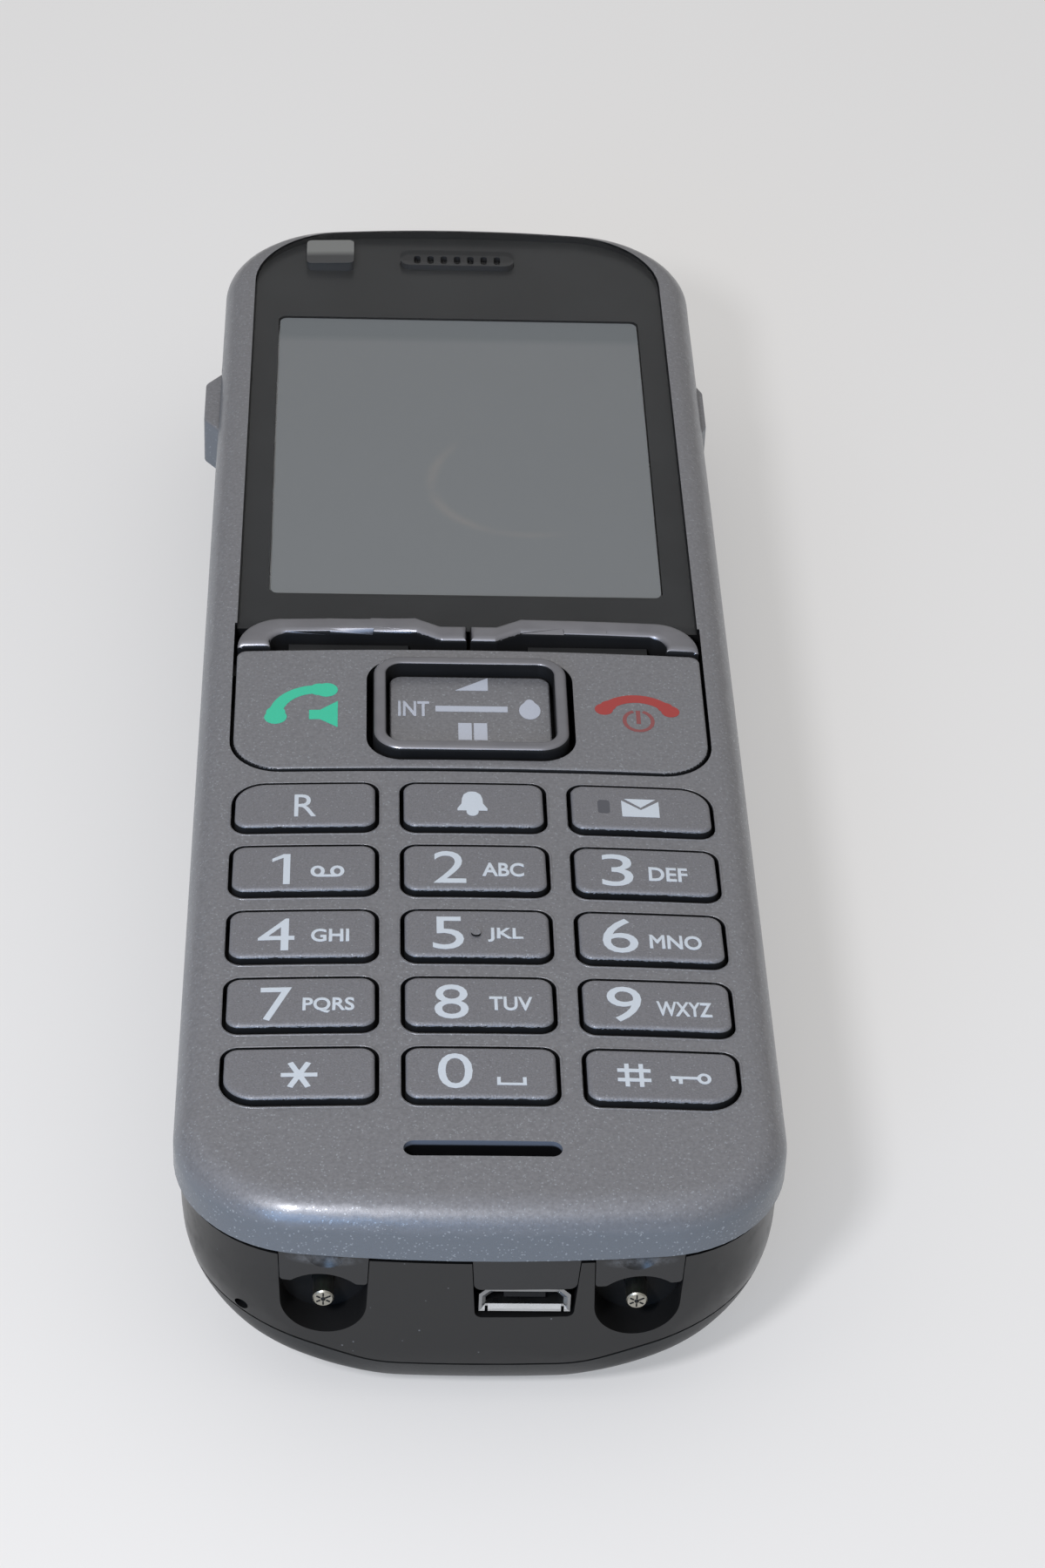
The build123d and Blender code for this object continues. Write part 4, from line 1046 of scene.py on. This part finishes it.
def space_sign(line: float) -> Mark:
    """Draw the open box that stands for a space."""
    left, right, low, high = 1.45, 3.6, -1.68, -0.78
    return Mark().stroke([(left, high), (left, low), (right, low), (right, high)], line * 0.9)


def star(line: float) -> Mark:
    """Draw a star of three strokes.

    Args:
        line: Width of a line.

    Returns:
        The mark.
    """
    half_width, half_height, middle = 1.52, 1.85, -0.47
    mark = Mark()
    for turn in (0.0, pi / 3, -pi / 3):
        x, y = half_width * cos(turn), half_height * sin(turn)
        mark.stroke([(-x, middle - y), (x, middle + y)], line * 1.45)
    return mark


def hatch(line: float) -> Mark:
    """Draw two upright strokes crossed by two level ones.

    Args:
        line: Width of a line.

    Returns:
        The mark.
    """
    x, y, beside, above = -2.35, -0.2, 0.6, 0.62
    half_width, half_height = 1.4, 1.5
    mark = Mark()
    for side in (-1, 1):
        upright, level = x + side * beside, y + side * above
        mark.stroke([(upright, y - half_height), (upright, y + half_height)], line * 1.1)
        mark.stroke([(x - half_width, level), (x + half_width, level)], line * 1.3)
    return mark


def small_key(line: float) -> Mark:
    """Draw a key with its ring at the right and two teeth at the left.

    Args:
        line: Width of a line.

    Returns:
        The mark.
    """
    shaft = -0.4
    mark = Mark().ring(3.5, shaft, 0.44, line * 0.9, 1.25)
    mark.stroke([(0.66, shaft + 0.05), (3.1, shaft + 0.05)], line)
    mark.stroke([(0.85, shaft), (0.95, shaft - 0.45)], line * 0.9)
    return mark.stroke([(1.5, shaft), (1.5, shaft - 0.75)], line)


def bell() -> Mark:
    """Draw a bell with its clapper.

    Returns:
        The mark.
    """
    x, y = -0.1, -0.1
    half = [(0.0, 1.9), (0.35, 1.85), (0.75, 1.45), (0.92, 0.8), (0.98, 0.0), (1.35, -0.75), (1.35, -1.05),
            (0.0, -1.05)]
    right = [(x + px, y + py) for px, py in half]
    left = [(x - px, y + py) for px, py in reversed(half[1:-1])]
    return Mark().outline(right + left).disc(x, y - 1.2, 0.55, 1.25)


def envelope() -> Mark:
    """Draw a letter whose flap stands off it by a gap.

    Returns:
        The mark.
    """
    left, right, low, high = -1.73, 1.65, -1.55, 1.2
    gap, fold = 0.28, -0.475
    mark = Mark().outline([(left, low), (right, low), (right, high - gap), (0.0, fold), (left, high - gap)])
    return mark.outline([(left + gap, high), (0.0, fold + gap * 1.3), (right - gap, high)])


def receiver(place: Point, turn: float, half: float, rise: float, waist: float, ear: float) -> Mark:
    """Draw a curved receiver with two rounded ends.

    Args:
        place: Middle of its back.
        turn: How far it is turned.
        half: Half its length.
        rise: How far its back bends.
        waist: Thickness in the middle.
        ear: Radius of its ends.

    Returns:
        The mark.
    """
    radius = (half**2 + rise**2) / (2 * rise)
    spread = atan2(half, radius - rise)
    spin = Matrix.Rotation(turn, 2)
    mark = Mark()
    last = mark.arc_steps
    inner = 0.85
    line = []
    for step in range(last + 1):
        angle = pi / 2 + spread - 2 * spread * step / last
        point = spin @ Vector((radius * cos(angle), radius * sin(angle) - radius))
        line.append((place[0] + point.x, place[1] + point.y))
    mark.stroke(line, waist)
    for index, share in ((0, 1.0), (2, inner), (last - 2, inner), (last, 1.0)):
        mark.disc(*line[index], ear * share)
    return mark


@dataclass(frozen=True)
class Legend:
    """Digit or letters: where their middle lies from the key's middle, their size and extra weight."""

    text: str
    dx: float
    dy: float
    width: float
    height: float
    weight: float = 0.0
    curve_steps: int = 4
    half_depth: float = 0.5
    weld: float = 1e-5

    def build(self, top: Surface, place: Point = (0.0, 0.0)) -> BMesh:
        """Set the letters on a surface.

        Args:
            top: Height of the surface at x and y.
            place: The key's middle.

        Returns:
            The letters' geometry in millimetres.
        """
        curve = bpy.data.curves.new("lettering", "FONT")
        curve.body = self.text
        curve.extrude = self.half_depth
        curve.bevel_depth = self.weight
        curve.bevel_resolution = 0
        curve.resolution_u = self.curve_steps
        holder = in_scene("lettering", curve)
        bpy.context.view_layer.update()
        mesh = bpy.data.meshes.new_from_object(holder.evaluated_get(bpy.context.evaluated_depsgraph_get()))
        bpy.data.objects.remove(holder)
        bpy.data.curves.remove(curve)
        form = bmesh.new()
        form.from_mesh(mesh)
        bpy.data.meshes.remove(mesh)
        bmesh.ops.remove_doubles(form, verts=form.verts, dist=self.weld)
        xs = [vertex.co.x for vertex in form.verts]
        ys = [vertex.co.y for vertex in form.verts]
        across = self.width / (max(xs) - min(xs))
        along = self.height / (max(ys) - min(ys))
        for vertex in form.verts:
            x = place[0] + self.dx + (vertex.co.x - (max(xs) + min(xs)) / 2) * across
            y = place[1] + self.dy + (vertex.co.y - (max(ys) + min(ys)) / 2) * along
            lift = MARK_THICKNESS / 2 if vertex.co.z > 0 else -MARK_THICKNESS / 2
            vertex.co = (x, y, top(x, y) + lift)
        return form


@dataclass
class Keypad(SubAssembly):
    """The fifteen keys with their marks and the rims of their openings."""

    key_top: Point = (0.4, 22.2)
    legend_rise: float = 0.1
    line: float = 0.34
    rim_radius: float = 0.12
    rim_sink: float = 0.07
    rim_out: float = 0.24
    rim_steps: int = 72
    rim_sides: int = 8
    corner_steps: int = 6
    rows: tuple[tuple[tuple[str | Legend, ...], ...], ...] = (
        (("key_star",), ("key_0", Legend("0", -2.15, 0.0, 2.9, 4.6)), ("key_hash",)),
        (("key_7", Legend("7", -2.1, -0.5, 2.65, 4.55), Legend("PQRS", 2.35, -0.7, 4.4, 2.1, 0.024)),
         ("key_8", Legend("8", -2.35, -0.25, 2.9, 4.7), Legend("TUV", 2.7, -0.45, 3.7, 1.9, 0.024)),
         ("key_9", Legend("9", -2.75, -0.2, 2.95, 4.8), Legend("WXYZ", 2.35, -0.65, 4.75, 2.0, 0.024))),
        (("key_4", Legend("4", -2.25, -0.35, 3.15, 4.55), Legend("GHI", 2.4, -0.5, 3.3, 1.85, 0.024)),
         ("key_5", Legend("5", -2.5, -0.2, 2.7, 4.65), Legend("JKL", 2.45, -0.4, 3.1, 2.0, 0.024)),
         ("key_6", Legend("6", -2.7, -0.15, 3.1, 4.9), Legend("MNO", 2.1, -0.85, 4.55, 2.0, 0.024))),
        (("key_1",),
         ("key_2", Legend("2", -2.25, -0.15, 2.85, 4.75), Legend("ABC", 2.45, -0.45, 3.7, 2.05, 0.024)),
         ("key_3", Legend("3", -2.55, -0.15, 2.8, 4.75), Legend("DEF", 1.95, -0.55, 3.45, 2.05, 0.024))),
        (("key_recall", Legend("R", 0.0, -0.35, 1.95, 3.4)), ("key_ring",), ("key_message",)),
    )
    spots: dict[str, tuple[int, int]] = field(default_factory=dict)

    def build(self) -> None:
        """Dress the keys and add their marks."""
        for row, keys in enumerate(self.rows):
            for column, (key, *legends) in enumerate(keys, start=-1):
                self.spots[key] = (column, row)
                self.skin(key, (Finish.KEY_FACE, Finish.BLACK), top_or_side(*self.key_top))
                for legend in legends:
                    self.mark(key, "digit" if len(legend.text) == 1 else "letters", legend)
        self.skin("message_window", (Finish.MESSAGE_LAMP,))
        self.symbols()
        self.rims()

    def mark(self, key: str, kind: str, mark: Mark | Legend) -> None:
        """Add a light mark to a key.

        Args:
            key: The key's node.
            kind: What the mark is, for its name.
            mark: The mark, drawn from the key's middle.
        """
        column, row = self.spots[key]
        x, y = self.body.key_middle(column, row)
        form = mark.build(self.body.key_face(row), (x, y + self.legend_rise))
        self.add(f"{key}_{kind}", form, Finish.LEGEND, key)

    def symbols(self) -> None:
        """Add the marks that aren't set from letters."""
        self.mark("key_1", "digit", digit_one())
        self.mark("key_1", "loops", tape_loops(self.line))
        self.mark("key_0", "space", space_sign(self.line))
        self.mark("key_star", "star", star(self.line))
        self.mark("key_hash", "hatch", hatch(self.line))
        self.mark("key_hash", "lock", small_key(self.line))
        self.mark("key_ring", "bell", bell())
        self.mark("key_message", "envelope", envelope())

    def rims(self) -> None:
        """Add the rounded rims of the fifteen openings."""
        body = self.body
        recipe = Recipe("key_rims")
        columns = recipe.size("Column pitch", body.column_pitch)
        rows = recipe.size("Row pitch", body.row_pitch)
        width = recipe.size("Opening width", body.opening_width + self.rim_out)
        height = recipe.size("Opening height", body.opening_height + self.rim_out)
        corner = recipe.size("Corner", body.opening_corner)
        outer_corner = recipe.size("Corner of the grid", body.grid_corner)
        crown = recipe.size("Crown", body.crown)
        top = recipe.size("Height", body.depth - self.rim_sink)
        middle_y = recipe.size("Middle row", body.key_middle(0, 2)[1])
        across, along = len(self.rows[0]), len(self.rows)
        grid = recipe.node("GeometryNodeMeshGrid", {
            "Size X": columns * (across - 1), "Size Y": rows * (along - 1),
            "Vertices X": across, "Vertices Y": along})
        opening = recipe.node("GeometryNodeCurvePrimitiveQuadrilateral", {"Width": width, "Height": height})
        laid = recipe.node("GeometryNodeInstanceOnPoints", {
            "Points": grid.outputs["Mesh"], "Instance": opening.outputs["Curve"]})
        real = recipe.node("GeometryNodeRealizeInstances", {0: laid.outputs[0]})
        x, y, _ = recipe.split(recipe.node("GeometryNodeInputPosition").outputs[0])
        # The four corners of the whole grid are rounder than the rest
        past_x = abs(x).above(columns + width * 0.25)
        past_y = abs(y).above(rows * 2 + height * 0.25)
        radius = corner + past_x * past_y * (outer_corner - corner)
        softened = recipe.node("GeometryNodeFilletCurve", {
            "Curve": real.outputs[0], "Count": self.corner_steps, "Radius": radius}, mode="POLY")
        even = recipe.node("GeometryNodeResampleCurve", {
            "Curve": softened.outputs[0], "Count": self.rim_steps})
        drop = crown - (crown * crown - x * x).root()
        moved = recipe.node("GeometryNodeSetPosition", {
            "Geometry": even.outputs[0], "Position": recipe.joined(x, y + middle_y, top - drop)})
        tube = recipe.tube(moved.outputs[0], recipe.size("Rim radius", self.rim_radius), self.rim_sides)
        self.seat(recipe.bake(tube, self.palette[Finish.LACQUER]), "front_cover")


@dataclass
class Controls(SubAssembly):
    """Call and end panel, softkeys and the four-way key, with their marks."""

    plate_top: Point = (0.6, 22.0)
    plated_top: Point = (0.5, 22.6)
    call_place: Point = (-16.75, -9.1)
    call_turn: float = radians(41)
    call_sizes: tuple[float, ...] = (3.1, 1.6, 1.25, 1.05)
    sounder: tuple[Point, ...] = ((-14.95, -12.75), (-14.95, -11.35), (-13.95, -11.35), (-12.3, -10.0),
                                  (-12.3, -14.0), (-13.95, -12.75))
    end_place: Point = (15.53, -8.98)
    end_sizes: tuple[float, ...] = (3.1, 1.75, 1.15, 0.86)
    power_place: Point = (15.59, -12.35)
    power_radius: float = 1.32
    power_squash: float = 1.15
    power_gap: float = 0.35
    power_line: float = 0.36
    power_bar: tuple[float, float, float] = (-0.45, 1.55, 0.4)
    wedge: tuple[Point, ...] = ((-1.35, -7.72), (1.7, -7.72), (1.7, -5.75))
    bar: tuple[float, ...] = (-3.24, 3.48, -11.0, -10.15)
    page_middles: Point = (-0.54, 0.9)
    page_half: float = 0.62
    page_ends: Point = (-15.3, -12.75)
    drop: tuple[tuple[float, ...], ...] = ((5.54, -10.72, 1.0, 1.35), (5.54, -10.3, 0.62, 2.1))
    inside_call: Legend = Legend("INT", -5.26, -10.6, 2.9, 2.3, 0.02)

    def build(self) -> None:
        """Dress the controls and add their marks."""
        for node in ("call_end_key", "nav_plate"):
            self.skin(node, (Finish.LACQUER, Finish.BLACK), top_or_side(*self.plate_top))
        # Painted shade: the silver trims' walls are black, for the shade on their sides and in the recess
        # under them.
        for node in ("nav_frame", "softkey_left", "softkey_right"):
            self.skin(node, (Finish.SILVER, Finish.BLACK), top_or_side(*self.plated_top))
        # Painted shade: the bezel under the softkeys is dark ink, for the shade in that recess.
        self.skin("softkey_bezel", (Finish.INK,))
        self.paint("nav_carrier", Finish.BLACK)
        self.calls()
        self.directions()

    def calls(self) -> None:
        """Add the green and red marks of the panel."""
        top = self.body.panel
        call = receiver(self.call_place, self.call_turn, *self.call_sizes).outline(self.sounder)
        self.add("call_mark", call.build(top), Finish.GREEN, "call_end_key")
        end = receiver(self.end_place, 0.0, *self.end_sizes)
        self.add("end_mark", end.build(top), Finish.RED, "call_end_key")
        x, y = self.power_place
        start, end_turn = pi / 2 + self.power_gap, pi / 2 + 2 * pi - self.power_gap
        power = Mark().arc(x, y, self.power_radius, start, end_turn, self.power_line, self.power_squash)
        low, high, width = self.power_bar
        power.stroke([(x, y + low), (x, y + high)], width)
        self.add("power_mark", power.build(top), Finish.DARK_RED, "call_end_key")

    def directions(self) -> None:
        """Add the light marks of the four-way key: wedge, bar, open book, drop and letters."""
        marks = Mark().outline(self.wedge).oblong(*self.bar)
        for middle in self.page_middles:
            marks.oblong(middle - self.page_half, middle + self.page_half, *self.page_ends)
        for disc in self.drop:
            marks.disc(*disc)
        self.add("direction_marks", marks.build(self.body.nav), Finish.NAV_LEGEND, "nav_plate")
        letters = self.inside_call.build(self.body.nav)
        self.add("inside_call_mark", letters, Finish.NAV_LEGEND, "nav_plate")


@dataclass
class Front(SubAssembly):
    """Front cover, lens, display and earpiece."""

    cover_sharp: float = 35.0
    gauze_pitch: float = 0.42
    gauze_wire: float = 0.05
    gauze_counts: tuple[int, int] = (28, 5)
    gauze_depth: float = 0.85
    wire_sides: int = 5
    slot_half: Point = (6.6, 1.1)
    lens_seat: float = 21.85
    seat_near: float = 0.01
    seat_gap: float = 0.08
    upward: float = 0.2
    flat: float = 0.99
    low_end: float = -66.5
    high_end: float = 74.5
    corner: Point = (18.5, 66.5)
    side: float = 24.2

    def build(self) -> None:
        """Dress the front."""
        finishes = (Finish.LACQUER, Finish.BLACK, Finish.INK, Finish.SLOT_WALL)
        self.skin("front_cover", finishes, self.cover_face, self.cover_sharp)
        lens = self.skin("display_lens", (Finish.CLEAR, Finish.CLEAR_BACK), top_or_side(self.upward, 0.0))
        for vertex in lens.data.vertices:
            if vertex.co.z < (self.lens_seat + self.seat_near) * MM:
                vertex.co.z += self.seat_gap * MM
        self.skin("lamp_window", (Finish.LAMP,))
        self.skin("display_panel", (Finish.DISPLAY,))
        self.skin("earpiece_mesh", (Finish.MESH,))
        self.paint("display_frame", Finish.STEEL)
        self.paint("display_flex", Finish.AMBER)
        self.paint("earpiece_receiver", Finish.BLACK)
        self.gauze()

    def cover_face(self, middle: Vector, way: Vector) -> int:
        """Return the finish of a face of the cover.

        Args:
            middle: The face's middle, in millimetres.
            way: Its direction.

        Returns:
            0 outside, 1 inside, 2 under the lens and 3 in the microphone slot.
        """
        if way.z > self.upward:
            return 2 if way.z > self.flat and abs(middle.z - self.lens_seat) < self.seat_near else 0
        if abs(middle.x) < self.slot_half[0] and abs(middle.y - self.body.mic_slot_y) < self.slot_half[1]:
            return 3
        high_end = self.corner[1] if abs(middle.x) > self.corner[0] else self.high_end
        at_edge = middle.y < self.low_end or middle.y > high_end or abs(middle.x) > self.side
        return 0 if at_edge and way.x * middle.x + way.y * middle.y > 0 else 1

    def gauze(self) -> None:
        """Add the fine wire gauze behind the slots of the earpiece."""
        recipe = Recipe("ear_gauze")
        pitch = recipe.size("Pitch", self.gauze_pitch)
        long, short = self.gauze_counts
        grid = recipe.node("GeometryNodeMeshGrid", {
            "Size X": pitch * (long - 1), "Size Y": pitch * (short - 1),
            "Vertices X": long, "Vertices Y": short})
        wires = recipe.node("GeometryNodeMeshToCurve", {"Mesh": grid.outputs["Mesh"]})
        tube = recipe.tube(wires.outputs[0], recipe.size("Wire", self.gauze_wire), self.wire_sides)
        place = recipe.joined(0.0, recipe.size("Slot middle", self.body.ear_slot_y),
                              recipe.size("Height", self.body.depth - self.gauze_depth))
        moved = recipe.node("GeometryNodeTransform", {"Geometry": tube, "Translation": place})
        self.seat(recipe.bake(moved.outputs[0], self.palette[Finish.BLACK]), "earpiece_mesh")


@dataclass
class Back(SubAssembly):
    """Lower housing, battery cover, end face, side pieces and what lies inside."""

    case_sharp: float = 28.0
    frontal: float = -0.5
    well_half: float = 3.9
    well_front: float = -76.9
    well_back: float = -70.0
    well_low: float = 8.0
    end_wall: float = 1.0
    notch_half: float = 4.6
    tongue_half: float = 2.2
    tongue_gaps: Point = (0.75, 0.85)
    shell_front: float = 1.0
    shell_lip: float = 0.6
    mark_count: int = 6
    mark_radius: float = 0.46
    mark_size: tuple[float, float, float] = (0.36, 0.13, 0.06)
    mark_longest: float = 1.35
    hub_radius: float = 0.2
    hub_sides: int = 12

    def build(self) -> None:
        """Dress the back and the inside."""
        self.skin("lower_housing", (Finish.SHELL, Finish.WELL), self.housing_face, self.case_sharp)
        self.skin("battery_cover", (Finish.DOOR,), sharp=self.case_sharp)
        self.skin("end_insert", (Finish.INSERT,))
        self.skin("charging_contacts", (Finish.NICKEL,))
        self.skin("usb_socket", (Finish.STEEL, Finish.BLACK, Finish.RIM), self.socket_face)
        self.skin("volume_key", (Finish.LACQUER,))
        self.skin("headset_flap", (Finish.LACQUER,))
        inside = {
            "headset_socket": Finish.BLACK, "circuit_board": Finish.BOARD, "dome_sheet": Finish.FILM,
            "shield_can": Finish.STEEL, "cell_left": Finish.SLEEVE, "cell_right": Finish.SLEEVE,
            "cell_contacts": Finish.NICKEL, "case_screws": Finish.STEEL, "loudspeaker": Finish.BLACK,
            "microphone": Finish.BLACK, "microphone_boot": Finish.RUBBER, "vibration_motor": Finish.STEEL,
            "antennas": Finish.BRASS,
        }
        for node, finish in inside.items():
            self.paint(node, finish)
        self.pin_marks()

    def housing_face(self, middle: Vector, way: Vector) -> int:
        """Return the finish of a face of the housing.

        Args:
            middle: The face's middle, in millimetres.
            way: Its direction.

        Returns:
            1, the painted shade, in a contact well or in the socket's notch and 0 elsewhere.
        """
        near_well = abs(abs(middle.x) - self.body.contact_x) < self.well_half
        near_notch = abs(middle.x - self.body.socket_x) < self.notch_half
        inward = way.y > self.frontal or middle.y > self.well_front + self.end_wall
        in_depth = self.well_front < middle.y < self.well_back and middle.z > self.well_low
        return 1 if (near_well or near_notch) and inward and in_depth else 0

    def socket_face(self, middle: Vector, way: Vector) -> int:
        """Return the finish of a face of the socket.

        Args:
            middle: The face's middle, in millimetres.
            way: Its direction.

        Returns:
            1 for the tongue and the depth of the socket, 2 for the upper part of its front rim, painted
            darker as shade, and 0 for the rest.
        """
        low, high = (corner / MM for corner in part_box("usb_socket"))
        below, above = self.tongue_gaps
        beside = abs(middle.x - (low.x + high.x) / 2) < self.tongue_half
        frontal = way.y < self.frontal
        in_gap = beside and low.z + below < middle.z < high.z - above
        if in_gap or frontal and middle.y > low.y + self.shell_front:
            return 1
        return 2 if frontal and middle.z > low.z + self.shell_lip else 0

    def pin_marks(self) -> None:
        """Add the six radial marks and the dark middle of both charging pins."""
        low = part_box("charging_contacts")[0] / MM
        recipe = Recipe("pin_marks")
        radius = recipe.size("Radius", self.mark_radius)
        turn = 2 * pi / self.mark_count
        ring = recipe.node("GeometryNodeMeshCircle", {"Vertices": self.mark_count, "Radius": radius})
        length, width, thick = (recipe.size(name, value)
                                for name, value in zip(("Length", "Width", "Thickness"), self.mark_size))
        bar = recipe.node("GeometryNodeMeshCube", {"Size": recipe.joined(length, width, thick)})
        index = Signal(recipe, recipe.node("GeometryNodeInputIndex").outputs[0])
        # The mark that ends up highest is the longest
        highest = 1 - abs(index - 1).above(0.5)
        stretch = recipe.joined(1 + highest * (self.mark_longest - 1), 1.0, 1.0)
        bars = recipe.node("GeometryNodeInstanceOnPoints", {
            "Points": ring.outputs[0], "Instance": bar.outputs["Mesh"],
            "Rotation": recipe.joined(0.0, 0.0, index * turn), "Scale": stretch})
        hub = recipe.node("GeometryNodeMeshCylinder", {
            "Vertices": self.hub_sides, "Radius": recipe.size("Hub", self.hub_radius), "Depth": thick})
        both = recipe.node("GeometryNodeJoinGeometry")
        for part in (bars.outputs[0], hub.outputs["Mesh"]):
            recipe.tree.links.new(part, both.inputs[0])
        upright = recipe.node("GeometryNodeTransform", {
            "Geometry": both.outputs[0], "Rotation": (pi / 2, turn / 2, 0.0)})
        x = recipe.size("Contact place", self.body.contact_x)
        first = recipe.joined(
            x * -1, recipe.size("Front", low.y), recipe.size("Height", low.z + self.body.pin_radius))
        line = recipe.node("GeometryNodeMeshLine", {
            "Count": 2, "Offset": recipe.joined(x * 2, 0.0, 0.0), "Start Location": first})
        laid = recipe.node("GeometryNodeInstanceOnPoints", {
            "Points": line.outputs[0], "Instance": upright.outputs[0]})
        self.seat(recipe.bake(laid.outputs[0], self.palette[Finish.BLACK]), "charging_contacts")


@dataclass
class Sky(Graph):
    """Soft sky that is brightest overhead, and evenly pale where the camera sees it."""

    colour: Colour = (1.0, 0.985, 0.965)
    low: float = 0.3
    rise: float = 0.44
    pale: float = 0.72

    def build(self) -> None:
        """Make it the scene's world."""
        world = bpy.data.worlds.new("sky")
        bpy.context.scene.world = world
        world.use_nodes = True
        self.tree = world.node_tree
        ground = self.tree.nodes["Background"]
        ground.inputs["Color"].default_value = (*self.colour, 1.0)
        height = self.split(self.node("ShaderNodeTexCoord").outputs["Generated"])[2]
        strength = height * height.above(0.0) * self.rise + self.low
        seen = Signal(self, self.node("ShaderNodeLightPath").outputs["Is Camera Ray"])
        self.tree.links.new((strength + seen * (self.pale - strength)).socket, ground.inputs["Strength"])


@dataclass(frozen=True)
class Lamp:
    """Round soft lamp that faces the handset, with its sizes in metres and its power in watts."""

    name: str
    way: tuple[float, float, float]
    distance: float
    diameter: float
    power: float
    colour: Colour

    def build(self) -> None:
        """Set the lamp up."""
        light = bpy.data.lights.new(self.name, "AREA")
        light.shape = "DISK"
        light.size = self.diameter
        light.energy = self.power
        light.color = self.colour
        unit = Vector(self.way).normalized()
        holder = in_scene(self.name, light)
        holder.location = unit * self.distance
        holder.rotation_euler = unit.to_track_quat("Z", "Y").to_euler()


@dataclass
class Studio:
    """Table, lamps and camera."""

    palette: Palette
    table_half: float = 3.0
    table_drop: float = 0.00002
    lamps: tuple[Lamp, ...] = (
        Lamp("key_lamp", (-0.277, -0.688, 0.67), 0.433, 0.06, 0.8, (0.97, 0.98, 1.02)),
        Lamp("window", (-0.35, -0.9, 0.3), 1.0, 0.5, 2.1, (0.4, 0.76, 1.32)),
    )
    camera_place: tuple[float, float, float] = (-12.04, -313.71, 251.68)
    camera_tilt: float = 2.2358
    camera_pan: float = -0.0447
    camera_roll: float = 0.0124
    focal_pixels: float = 4693.76
    frame_pixels: float = 1800.0
    sensor: float = 36.0

    def build(self) -> None:
        """Set up the table, the light and the camera."""
        scene = bpy.context.scene
        scene.view_settings.view_transform = "Standard"
        form = bmesh.new()
        corners = [(-1, -1), (1, -1), (1, 1), (-1, 1)]
        form.faces.new([form.verts.new((x * self.table_half, y * self.table_half, -self.table_drop))
                        for x, y in corners])
        mesh = bpy.data.meshes.new("table")
        form.to_mesh(mesh)
        form.free()
        mesh.materials.append(self.palette[Finish.TABLE])
        in_scene("table", mesh)
        Sky().build()
        for lamp in self.lamps:
            lamp.build()
        scene.camera = self.camera()

    def camera(self) -> Object:
        """Place the camera as it was for the photograph.

        Returns:
            The camera.
        """
        lens = bpy.data.cameras.new("camera")
        lens.sensor_fit = "VERTICAL"
        lens.sensor_height = self.sensor
        lens.lens = self.focal_pixels * self.sensor / self.frame_pixels
        lens.clip_start = 0.01
        lens.clip_end = 20.0
        turned = (Matrix.Rotation(self.camera_roll, 3, "Z") @ Matrix.Rotation(self.camera_pan, 3, "Y")
                  @ Matrix.Rotation(self.camera_tilt, 3, "X"))
        facing = (Matrix.Diagonal((1.0, -1.0, -1.0)) @ turned).transposed()
        holder = in_scene("camera", lens)
        holder.matrix_world = Matrix.Translation(Vector(self.camera_place) * MM) @ facing.to_4x4()
        return holder


def main() -> None:
    """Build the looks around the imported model."""
    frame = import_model()
    palette = Palette()
    body = Body()
    Studio(palette).build()
    for group in (Front, Controls, Keypad, Back):
        LOG.info("building %s", group.__name__)
        group(frame, palette, body).build()


if __name__ == "__main__":
    logging.basicConfig(level=logging.INFO, format="%(name)s: %(message)s")
    main()
